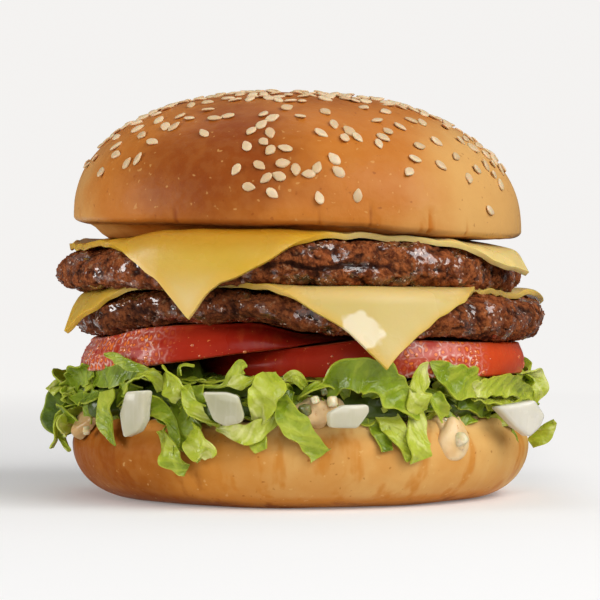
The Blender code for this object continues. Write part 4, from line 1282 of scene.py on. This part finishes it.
def patty_mesh(patty, seed, groove_at=lambda place: 0.0):
    """The pressed disc between its two faces, roughened towards its rim."""
    bm = spun(patty_profile(), 700)
    edges = {}
    for vert in bm.verts:
        share = math.hypot(vert.co.x, vert.co.y)
        azimuth = math.atan2(vert.co.y, vert.co.x)
        side = vert.co.z
        key = round(azimuth * 10000)
        if key not in edges:
            edges[key] = patty.edge(azimuth)
        edge = edges[key]
        radius = share * edge[0]
        z = patty.upper_face(radius, edge)
        if side < 0.999:
            widest = patty.upper_face(edge[0], edge)
            low = patty.lower_face(radius, azimuth, edge)
            z = low + (1 + min(side, 0.0)) * (widest - low)
        vert.co = on_ring(azimuth, radius, z, patty.centre[0])
    bmesh.ops.recalc_face_normals(bm, faces=bm.faces[:])
    deep = bm.verts.layers.float.new("crevice")
    bm.normal_update()
    moves = []
    for vert in bm.verts:
        radius = math.hypot(vert.co.x - patty.centre[0], vert.co.y)
        rim = min(max((radius - 0.038) / 0.010, 0.0), 1.0)
        height = minced(vert.co, seed) - groove_at(vert.co)
        vert[deep] = 0.45 - 0.5 * height
        swing = ragged(vert.co, seed)
        swing.z *= 0.45
        moves.append((vert, (vert.normal * (MINCE_DEPTH * height) + swing) * rim))
    for vert, move in moves:
        vert.co += move
    return bm


beef_look, tree, shader, place = new_look("beef", specular_ior_level=0.09, coat_roughness=0.06, coat_ior=1.7)
strands = ranged(tree, speckled(tree, place, 760.0, 4.0, 0.65), 0.36, 0.64)
greasy = patchy(tree, place, 210.0, 0.50, 0.58)
# Pale specks in the greasy patches, as bits of fat: painted glints.
pearly = times(tree, patchy(tree, place, 1300.0, 0.60, 0.66), times(tree, greasy, 0.75))
# Darker on the lower patty's left and middle: painted shade under the upper cheese.
dim = ranged(tree, part_of(tree, place, "Z"), 0.0500, 0.0480)
dim = times(tree, dim, ranged(tree, part_of(tree, place, "X"), 0.014, -0.010, 0.0, 0.42))
colour = layered(
    tree, mixed(tree, strands, (0.080, 0.016, 0.004), (0.360, 0.104, 0.029)),
    (times(tree, patchy(tree, place, 110.0), 0.45), (0.25, 0.055, 0.014)),
    (times(tree, patchy(tree, place, 820.0, 0.60, 0.70), 0.6), (0.42, 0.22, 0.11)),
    (dim, (0.045, 0.014, 0.005)),
    # Darkest in the crevices: painted shade.
    (ranged(tree, stored(tree, "crevice"), 0.45, 1.0, 0.0, 0.9), (0.018, 0.004, 0.002)),
    (pearly, (0.80, 0.62, 0.50)),
)
fill(tree, shader, {
    "Base Color": colour, "Roughness": ranged(tree, greasy, 0.0, 1.0, 0.62, 0.40),
    "Coat Weight": ranged(tree, greasy, 0.0, 1.0, 0.0, 1.0),
    "Normal": bumped(tree, speckled(tree, place, 1500.0, 5.0), 0.0007),
})

LOWER_PATTY = Patty(
    0.0024, 0.0389, 0.0476, ((2, 0.0004, 2.4), (5, 0.0004, 2.9), (9, 0.0003, 0.4)),
    (
        (-180, 0.0374, 0.0458), (-158, 0.0378, 0.0466), (-135, 0.0398, 0.0484), (-120, 0.0409, 0.0488),
        (-105, 0.0414, 0.0484), (-90, 0.0392, 0.0480), (-60, 0.0379, 0.0474), (-45, 0.0368, 0.0468),
        (-30, 0.0364, 0.0462), (-15, 0.0372, 0.0448), (0, 0.0370, 0.0462), (12, 0.0372, 0.0467),
        (30, 0.0374, 0.0470), (90, 0.0388, 0.0476), (150, 0.0388, 0.0470),
    ), burden,
)
lower_bm = patty_mesh(LOWER_PATTY, Vector((3.1, 7.7, 1.3)))
lower_patty = made_piece("beef_lower", lower_bm, beef_look)
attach(lower_patty, "root")
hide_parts("patty_lower")


# ---- Lower cheese slice -------------------------------------------------------------------------
# A square slice of processed cheese, 89 mm wide, softened by the heat of the patty. It sinks over
# the patty's edge, one corner hangs over the front, and its left and right corners stand out.

CHEESE_SIDE = 0.0886
CHEESE_THICKNESS = 0.00125
CHEESE_LIFT = 0.0008
CHEESE_DROOP = math.radians(76)
LIFT_FROM = 0.048
LIFT_TO = 0.054
DRAPE_STEP = 0.0005
LOOK_AHEAD = 0.25 * DRAPE_STEP


def draped(patty, radius, azimuth, steepest):
    """The point reached by going this far from the patty's middle along its upper face. Past
    the steepest slope the slice is stiff enough to run on straight, out of touch."""
    edge = patty.edge(azimuth)
    out = min(radius, FLAT_SHARE * PATTY_RADIUS)
    height = patty.upper_face(out, edge)
    slope = -0.3
    steps = max(int((radius - out) / DRAPE_STEP), 1)
    step = (radius - out) / steps
    for _ in range(steps):
        if out + LOOK_AHEAD < edge[0]:
            drop = patty.upper_face(out, edge) - patty.upper_face(out + LOOK_AHEAD, edge)
            slope = min(max(slope, math.atan2(drop, LOOK_AHEAD)), steepest)
        else:
            slope = steepest
        out += step * math.cos(slope)
        height -= step * math.sin(slope)
        if out < edge[0] - 0.6 * PATTY_EDGE_WIDTH:
            height = max(height, patty.upper_face(out, edge))
    lift = CHEESE_LIFT * eased(radius, LIFT_FROM, LIFT_TO)
    return on_ring(azimuth, out + lift, height + GAP + lift, patty.centre[0])


def faced_up(bm):
    bmesh.ops.recalc_face_normals(bm, faces=bm.faces[:])
    if sum(face.normal.z for face in bm.faces) < 0:
        bmesh.ops.reverse_faces(bm, faces=bm.faces[:])


def cheese_slice(name, node, patty, centre, turn, stiff_corners, tucks):
    """A fine grid laid over the patty. Stiff corners are (azimuth, spread, slope), and tucks are
    (azimuth, spread, twist, distance beyond which it is drawn in, how far), all in degrees."""
    bm = bmesh.new()
    bmesh.ops.create_grid(bm, x_segments=100, y_segments=100, size=0.5 * CHEESE_SIDE)
    cut_side = bm.verts.layers.float.new("border")
    turned = Matrix.Rotation(math.radians(turn - 45), 3, "Z")
    for vert in bm.verts:
        flat = turned @ vert.co
        border = max(abs(vert.co.x), abs(vert.co.y)) / (0.5 * CHEESE_SIDE)
        x = centre[0] + flat.x - patty.centre[0]
        y = centre[1] + flat.y - patty.centre[1]
        flat_azimuth = azimuth = math.atan2(y, x)
        radius = math.hypot(x, y)
        for at, spread, twist, limit, share in tucks:
            pull = bump(flat_azimuth, at, spread)
            azimuth += math.radians(twist) * pull
            radius -= max(radius - limit, 0.0) * share * pull**0.5
        held = sum(
            (CHEESE_DROOP - math.radians(slope)) * bump(azimuth, at, spread)
            for at, spread, slope in stiff_corners
        )
        vert.co = draped(patty, radius, azimuth, CHEESE_DROOP - held)
        vert[cut_side] = border
        wavy = 0.0009 * eased(border, 0.88, 1.0) * noise.noise(vert.co * 190)
        vert.co.z += 0.0003 * noise.noise(vert.co * 70) + wavy
    faced_up(bm)
    piece = made_piece(name, bm, cheese_look)
    thick = piece.modifiers.new("Slice thickness", "SOLIDIFY")
    thick.thickness = CHEESE_THICKNESS
    thick.offset = 1.0
    soft = piece.modifiers.new("Soft cut edge", "BEVEL")
    soft.width = 0.0005
    soft.segments = 3
    soft.limit_method = "ANGLE"
    soft.angle_limit = math.radians(50)
    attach(piece, "root")
    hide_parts(node)


cheese_look, tree, shader, place = new_look(
    "melted_cheese", specular_ior_level=0.35, subsurface_weight=0.3, subsurface_scale=0.003,
    subsurface_radius=(1.0, 0.55, 0.15),
)
height = part_of(tree, place, "Z")
across = part_of(tree, place, "X")
left_part = ranged(tree, across, 0.012, 0.000)
border = stored(tree, "border")

# A wet gloss on the front of the lower slice, where it has sweated in the heat, with a painted glare: paler
# colour in the same patch.
gloss_at = far_from(tree, place, (0.0135, -0.0575, 0.0400))
gloss = maths(tree, "MULTIPLY_ADD", speckled(tree, place, 170.0), 0.0075, gloss_at)
gloss = ranged(tree, gloss, 0.0090, 0.0080)
colour = layered(
    tree, mixed(tree, patchy(tree, place, 48.0, 0.3, 0.7), (0.59, 0.365, 0.042), (0.63, 0.410, 0.068)),
    (times(tree, patchy(tree, place, 900.0, 0.45, 0.60), 0.10), (0.70, 0.38, 0.07)),
    # Painted shade under the crown, and a deeper painted shadow where the crown rests on it.
    (times(tree, ranged(tree, height, 0.0550, 0.0606, 0.0, 0.9), left_part), (0.50, 0.235, 0.010)),
    (times(tree, ranged(tree, height, 0.0596, 0.0620, 0.0, 0.7), left_part), (0.34, 0.125, 0.005)),
    # Paler on the two flaps that hang at the front: painted light and glare.
    (times(tree, ranged(tree, height, 0.0540, 0.0440, 0.0, 0.55), ranged(tree, across, -0.044, -0.036)),
     (0.78, 0.64, 0.36)),
    (times(tree, ranged(tree, height, 0.0478, 0.0450, 0.0, 0.85), ranged(tree, across, -0.010, 0.002)),
     (0.560, 0.415, 0.100)),
    # Deeper orange at the cut edge, and at the right a painted highlight along it, where it catches the
    # light.
    (ranged(tree, border, 0.94, 1.0, 0.0, 0.45), (0.68, 0.39, 0.020)),
    (times(tree, ranged(tree, height, 0.0495, 0.0520), ranged(tree, across, 0.004, 0.014, 0.0, 0.62)),
     (0.96, 0.75, 0.32)),
    # Painted glare: paler colour over the glossy patch.
    (times(tree, gloss, 0.60), (0.86, 0.76, 0.56)),
)
fill(tree, shader, {
    "Base Color": colour, "Roughness": ranged(tree, patchy(tree, place, 85.0), 0.0, 1.0, 0.24, 0.38),
    "Coat Weight": times(tree, gloss, 0.3), "Normal": grained(tree, place, 260.0, 0.00014),
})

cheese_slice(
    "cheese_slice_lower", "cheese_lower", LOWER_PATTY, (0.0052, -0.0074), 15.5,
    ((8, 52, 50), (201, 45, 54)),
    ((-22, 30, 0, 0.0465, 0.8), (9, 26, 0, 0.0515, 0.66), (-157, 20, 0, 0.0515, -0.08)),
)


# ---- Upper patty --------------------------------------------------------------------------------
# The second patty, of the same coarse mince, thinner towards the right front, where the slice of
# cheese above it shows its edge. It leans with the stack.

UPPER_PATTY = Patty(
    -0.0016, 0.0490, 0.0593, ((2, 0.0005, 1.0), (5, 0.0004, 0.8), (9, 0.0003, 2.0), (1, 0.0012, -1.57)),
    (
        (-180, 0.0482, 0.0562), (-158, 0.0479, 0.0560), (-146, 0.0482, 0.0567), (-135, 0.0485, 0.0579),
        (-120, 0.0490, 0.0601), (-112, 0.0493, 0.0609), (-95, 0.0492, 0.0608), (-85, 0.0490, 0.0603),
        (-75, 0.0488, 0.0594), (-60, 0.0489, 0.0588), (-50, 0.0484, 0.0580), (-40, 0.0475, 0.0571),
        (-30, 0.0472, 0.0566), (-18, 0.0476, 0.0560), (0, 0.0478, 0.0552), (30, 0.0482, 0.0556),
        (60, 0.0488, 0.0580), (90, 0.0490, 0.0592), (140, 0.0490, 0.0592), (160, 0.0486, 0.0577),
    ),
)


def split_edge(place):
    """A long level crevice in the front of the upper patty, where two layers of mince part."""
    azimuth = math.degrees(math.atan2(place.y, place.x))
    line = 0.0536 - 0.020 * place.x + 0.0008 * noise.noise(place * 130)
    fade = eased(azimuth, -100, -92) * eased(azimuth, -66, -76)
    return 2.0 * fade * math.exp(-((place.z - line) / 0.0005)**2)


upper_bm = patty_mesh(UPPER_PATTY, Vector((9.4, 2.2, 5.8)), split_edge)
upper_patty = made_piece("beef_upper", upper_bm, beef_look)
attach(upper_patty, "root")
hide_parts("patty_upper")


# ---- Upper cheese slice -------------------------------------------------------------------------
# The second slice, turned the other way: its front corner hangs at the left and its right corner
# stands out over the end of the patty. The crown presses on it.

cheese_slice(
    "cheese_slice_upper", "cheese_upper", UPPER_PATTY, (-0.0057, -0.0062), -21.2,
    ((-20, 40, 47),),
    (
        (166, 40, 0, 0.0512, 0.95), (-28, 36, 9, 0.0515, 0.44), (-45, 20, 0, 0.0470, -0.48),
        (-149, 18, 0, 0.0465, -0.22), (-122, 14, 0, 0.0465, -0.14), (-91, 15, 0, 0.0465, -0.32),
    ),
)


# ---- Crown --------------------------------------------------------------------------------------
# The upper half of the bun: a domed crust, satin from an egg wash, darker over the left of the front,
# partly baked and partly painted shade, and paler low at the sides, with painted light at the right
# and a painted reflection low at the left. Its few short creases at the rim are darkened with painted
# shade. It leans to the right.

CROWN_RADIUS = 0.0522
CROWN_ROUNDNESS = 2.33
CROWN_CUT = 0.0603
CROWN_LIP = 0.0034
CROWN_LIP_RISE = 0.0017
CROWN_SLOPE = 0.033
CROWN_BELLY = 0.0598
CROWN_DEPTH = 0.0938 - CROWN_CUT
CROWN_DOME = CROWN_DEPTH - CROWN_LIP_RISE
CROWN_SWINGS = ((2, 0.0004, 0.6), (3, 0.0004, 2.1), (5, 0.0002, 0.3))
CROWN_RIM = (  # degrees, and the height of the rim's lower edge
    (-180, 0.0636), (-158, 0.0634), (-135, 0.0629), (-112, 0.0627), (-90, 0.0624), (-75, 0.0618),
    (-60, 0.0608), (-45, 0.0599), (-30, 0.0595), (0, 0.0599), (45, 0.0606), (90, 0.0615), (135, 0.0626),
)
CROWN_CREASES = (  # degrees, and depth
    (-84, 0.0004), (-71, 0.0006), (-69.4, 0.0003), (-57, 0.0003), (-54.6, 0.0006), (-42, 0.0004),
    (-120, 0.0003), (-12, 0.0005), (8, 0.0003), (30, 0.0004), (95, 0.0004), (110, 0.0003), (160, 0.0003),
    (200, 0.0003),
)


def crown_profile():
    """The dome, the rim rolled under, and the cut face, with height 0 on the cut face."""
    power = 2 / CROWN_ROUNDNESS
    points = [(0.0, CROWN_DEPTH)]
    for i in range(1, 61):
        angle = 0.5 * math.pi * (1 - i / 60)
        radius = CROWN_RADIUS * max(math.cos(angle), 0.0) ** power
        points.append((radius, CROWN_LIP_RISE + CROWN_DOME * math.sin(angle) ** power))
    points += arc(8, lambda s: (
        CROWN_RADIUS - CROWN_LIP * (0.15 * s + 0.85 * s**2), CROWN_LIP_RISE * (1 - rise(s)),
    ))[1:]
    return points + arc(30, lambda s: ((CROWN_RADIUS - CROWN_LIP) * (1 - s), 0.0))[1:]


def crown_crease(at):
    """Depth of the short upright creases that run up from the rim."""
    azimuth = math.atan2(at.y, at.x) + math.radians(0.5) * noise.noise(at * 260)
    depth = 0.0
    for degrees, size in CROWN_CREASES:
        away = apart(azimuth, degrees) / math.radians(0.7)
        reach = 0.0020 + 10 * size
        depth += size * max(0.0, 1 - away) * eased(at.z, reach, 0.3 * reach) * eased(at.z, 0.0, 0.0006)
    return depth


def crown_relief(at):
    """Broad swells and fine dimples, with the creases."""
    return 0.00045 * noise.noise(at * 42) + 0.00010 * noise.noise(at * 190) - crown_crease(at)


crown_bm = spun(crown_profile(), 420)
creased = crown_bm.verts.layers.float.new("creased")
crown_under = [vert for vert in crown_bm.verts if vert.co.z < 0.000001]
for vert in crown_bm.verts:
    vert.co.xy *= 1 + waves(math.atan2(vert.co.y, vert.co.x), CROWN_SWINGS) / CROWN_RADIUS
    vert[creased] = crown_crease(vert.co) / 0.0005
raised(crown_bm, crown_relief)
for vert in crown_bm.verts:
    lean = CROWN_CUT - CROWN_SLOPE * vert.co.x * (1 - 0.35 * vert.co.z / CROWN_DEPTH)
    raise_rim = round_rim(CROWN_RIM, math.atan2(vert.co.y, vert.co.x), 1) - lean
    vert.co.z += lean + raise_rim * (1 - min(max(vert.co.z / CROWN_DEPTH, 0.0), 1.0)) ** 3
for vert in crown_under:
    inwards = CROWN_RADIUS - CROWN_LIP - math.hypot(vert.co.x, vert.co.y)
    belly = CROWN_BELLY - 0.004 * vert.co.x
    sagging = eased(inwards, 0.0, 0.0052) * (belly - vert.co.z)
    vert.co.z += sagging + 0.0002 * noise.noise(vert.co * 200)
settled(crown_bm, "bun_crown", "xy")
crown_surface = BVHTree.FromBMesh(crown_bm)

crown_look, tree, shader, place = new_look("crown_crust", specular_ior_level=0.13)
height = part_of(tree, place, "Z")
# Darker over the left of the front: partly baked, partly painted shade.
left_front = ranged(tree, far_from(tree, place, (-0.018, -0.044, 0.077)), 0.032, 0.006, 0.0, 0.42)
browning = summed(tree, left_front, 0.50)
# Paler at the right, painted light; low at the left, a painted reflection of the pale surroundings; and a
# little paler low all round.
for paler in (
    ranged(tree, far_from(tree, place, (0.050, -0.020, 0.068)), 0.045, 0.010, 0.0, 0.48),
    ranged(tree, far_from(tree, place, (-0.054, -0.010, 0.066)), 0.030, 0.008, 0.0, 0.25),
    ranged(tree, height, 0.070, 0.0615, 0.0, 0.10),
):
    browning = maths(tree, "SUBTRACT", browning, paler)
# Darker in the creases: painted shade.
browning = maths(tree, "MULTIPLY_ADD", stored(tree, "creased"), 0.38, browning)
browning = summed(tree, browning, ranged(tree, height, 0.0850, 0.0930, 0.0, 0.22))
crumb = mixed(tree, patchy(tree, place, 450.0, 0.4, 0.6), (0.42, 0.17, 0.045), (0.30, 0.10, 0.022))
bake(
    tree, shader, place, browning, (0.68, 0.37, 0.115), (0.52, 0.168, 0.022), (0.25, 0.052, 0.006),
    ranged(tree, facing_up(tree), -0.90, -0.97), crumb,
)
crown = made_piece("crown", crown_bm, crown_look)
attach(crown, "root")
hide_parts("bun_crown")


# ---- Sesame seeds -------------------------------------------------------------------------------
# Hulled white sesame, 3.3 mm long and 2 mm wide, pointed at one end, stuck down by the egg wash.
# They lie thickest on top of the crown, in clusters, and thin out towards its rim.

SEED_HALF_SIZE = (0.00168, 0.00112, 0.00104)
SEED_SPACING = 0.0024
SEED_TRIES = 2400
FRONT_SEEDS = (  # places seen from the front, on the middle plane, in millimetres
    (-22.5, 84.5), (-11.5, 85), (-7, 84.5), (-9, 86.5), (-6.5, 88), (-8.5, 89), (-3, 90.5), (-12.5, 81.5),
    (-8.5, 82.5), (-7, 80.5), (-3.5, 81), (-9.5, 77), (-4, 77.5), (-15, 76), (-8, 74), (-5, 74.5),
    (-12, 72), (-6.5, 70.5), (-1, 76), (-38, 78.5), (-40.5, 77.5), (-43, 79.5), (-34.5, 82.5), (-37, 84),
    (-43, 81.5), (-46.5, 75.5), (-38, 85.5), (-33, 87.5), (-28, 88.5), (-26, 88), (-29, 87.5), (-31.5, 86),
    (-29.5, 86), (-25.5, 91), (-21.5, 90), (-20, 88), (-17, 88.5), (0.5, 92), (6, 89.5), (0, 88.5),
    (8, 86.5), (11.5, 85), (13.5, 83.5), (10.5, 83.5), (5, 84.5), (15, 90.5), (20, 89.5), (18, 87.5),
    (23.5, 86), (20.5, 85), (19.5, 83.5), (18.5, 82), (26, 87.5), (28.5, 87), (34, 86), (28, 81.5),
    (32, 82.5), (27, 78.5), (36.5, 79), (25.5, 75.5), (33, 77), (41.5, 76), (39.5, 74), (43.5, 77),
    (39.5, 83.5), (40.5, 81), (43, 82.5), (43.5, 79.5), (44.5, 66.5), (8, 78.5), (6, 77.5), (4, 76.5),
    (-0.5, 76), (2, 75), (9, 75.5), (4.5, 69.5), (6.5, 70.5), (13.5, 70),
)
draw = random.Random(41)
one_seed = bmesh.new()
seed_tone = one_seed.verts.layers.float.new("tone")
seed_middle = one_seed.verts.layers.float.new("middle")
bmesh.ops.create_uvsphere(one_seed, u_segments=12, v_segments=7, radius=1.0)
for vert in one_seed.verts:
    x, y, z = vert.co
    narrow = 1 - 0.38 * x - 0.12 * x**2 if x > 0 else 1.0
    from_rim = 1 - math.hypot(x, y)
    vert[seed_middle] = from_rim
    thick = 0.42 * z * (1 - 0.22 * from_rim ** 0.5)
    vert.co = (SEED_HALF_SIZE[0] * x, SEED_HALF_SIZE[1] * y * narrow, SEED_HALF_SIZE[2] * thick)
seed_shape = bpy.data.meshes.new("one_seed")
one_seed.to_mesh(seed_shape)
one_seed.free()
seeds_bm = bmesh.new()
seeds_bm.verts.layers.float.new("tone")
seeds_bm.verts.layers.float.new("middle")
seed_spots = []


def seed(point, normal, heading):
    """A flat drop with a slightly raised rim, lying on the crust and tilted a little."""
    if any((point - other).length < SEED_SPACING for other in seed_spots):
        return
    seed_spots.append(point)
    size = Matrix.Scale(draw.uniform(0.90, 1.08), 4)
    tilt = Matrix.Rotation(math.radians(draw.uniform(-14, 14)), 4, "Y")
    roll = Matrix.Rotation(math.radians(draw.uniform(-16, 16)), 4, "X")
    lying = upright_on(point + normal * 0.00030, normal) @ Matrix.Rotation(heading, 4, "Z")
    placed(seeds_bm, seed_shape, lying @ tilt @ roll @ size, draw.random())


for across, up in FRONT_SEEDS:
    line = Vector((across, 0.0, up)) * 0.001 - VIEWER
    point, normal, _, _ = crown_surface.ray_cast(VIEWER, line.normalized())
    if point is not None:
        seed(point, normal, draw.uniform(0, 2 * math.pi))

crown_low, crown_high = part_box("bun_crown")
crown_middle = 0.5 * (crown_low + crown_high)
for number in range(SEED_TRIES):
    out = 0.050 * math.sqrt(draw.random())
    azimuth = draw.uniform(-math.pi, math.pi)
    start = on_ring(azimuth, out, 0.2, crown_middle.x)
    point, normal, _, _ = crown_surface.ray_cast(start, Vector((0.0, 0.0, -1.0)))
    cluster = 0.5 + 0.9 * noise.noise(start * 75)
    thinning = min(max((0.052 - out) / 0.030, 0.0), 1.0)
    front = point is not None and point.y < -0.016 - 0.10 * abs(point.x) and point.z < 0.0905
    if point is None or front or draw.random() > 0.85 * cluster * (0.25 + 0.75 * thinning):
        continue
    seed(point, normal, draw.uniform(0, 2 * math.pi))

seed_look, tree, shader, place = new_look(
    "sesame_seed", specular_ior_level=0.45, subsurface_weight=0.15, subsurface_scale=0.001,
)
worn = patchy(tree, place, 900.0)
colour = layered(
    tree, mixed(tree, stored(tree, "tone"), (0.62, 0.43, 0.22), (0.78, 0.60, 0.37)),
    (times(tree, ranged(tree, stored(tree, "middle"), 0.25, 0.8), 0.45), (0.56, 0.41, 0.27)),
    (times(tree, worn, 0.18), (0.66, 0.42, 0.20)),
)
fill(tree, shader, {"Base Color": colour, "Roughness": ranged(tree, worn, 0.0, 1.0, 0.36, 0.5)})
seeds = made_piece("sesame_seeds", seeds_bm, seed_look)
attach(seeds, "root")


# ---- Studio -------------------------------------------------------------------------------------
# A seamless pale cove that the burger stands on, a broad soft light high at the right, weaker
# ones from the left, from the front and from above and behind, and the camera.

cove_points = [(0.0, 0.0), (0.12, 0.0), (0.3, 0.0), (0.7, 0.0), (1.4, 0.0), (2.4, 0.0)]
cove_points += arc(10, lambda s: (2.4 + 0.8 * rise(s), 0.8 * (1 - fall(s))))[1:]
cove_bm = spun(cove_points + [(3.2, 3.0)], 72)
faced_up(cove_bm)
cove_look, tree, shader, place = new_look(
    "pale_cove", roughness=0.9, specular_ior_level=0.0, emission_strength=1.0,
)
away = add_node(tree, "ShaderNodeVectorMath", {0: place}, operation="LENGTH").outputs["Value"]
rightward = ranged(tree, part_of(tree, place, "X"), 0.054, 0.078, 0.0, 0.92)
far = maths(tree, "MAXIMUM", ranged(tree, away, 0.10, 0.60), rightward)
glow = mixed(tree, far, (0.15, 0.149, 0.148), (0.90, 0.886, 0.872))
direct = add_node(tree, "ShaderNodeLightPath").outputs["Is Camera Ray"]
fill(tree, shader, {
    "Base Color": mixed(tree, far, (0.77, 0.765, 0.76), (0.02, 0.02, 0.02)),
    "Emission Color": mixed(tree, direct, (0.12, 0.119, 0.118), glow),
})
cove = made_piece("cove", cove_bm, cove_look)
cove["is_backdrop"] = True

world = bpy.data.worlds.new("studio_air")
bpy.context.scene.world = world
world.use_nodes = True
world.node_tree.nodes["Background"].inputs["Color"].default_value = (1.0, 0.99, 0.98, 1.0)
world.node_tree.nodes["Background"].inputs["Strength"].default_value = 0.3

for name, spot, target_height, width, depth, power in (
    ("key_right", (0.80, -0.55, 0.72), 0.05, 0.9, 0.9, 12.6),
    ("fill_left", (-0.95, -0.25, 0.25), 0.05, 0.5, 0.4, 5.5),
    ("front_fill", (0.22, -1.20, 0.55), 0.04, 0.8, 0.5, 4.3),
    ("top_back", (0.05, 0.50, 0.95), 0.06, 0.9, 0.5, 1.0),
):
    light = bpy.data.lights.new(name, "AREA")
    light.shape = "RECTANGLE"
    light.size = width
    light.size_y = depth
    light.energy = power
    lamp = bpy.data.objects.new(name, light)
    lamp.location = spot
    aim = Vector((0.0, 0.0, target_height)) - Vector(spot)
    lamp.rotation_euler = aim.to_track_quat("-Z", "Y").to_euler()
    bpy.context.scene.collection.objects.link(lamp)

camera_data = bpy.data.cameras.new("front_camera")
camera_data.lens = 178.7
camera_data.sensor_width = 36.0
camera = bpy.data.objects.new("front_camera", camera_data)
camera.location = VIEWER
camera.rotation_euler = (0.5 * math.pi - 0.01357, 0.0, 0.0)
bpy.context.scene.collection.objects.link(camera)
bpy.context.scene.camera = camera
bpy.context.scene.view_settings.view_transform = "Standard"

low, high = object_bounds()
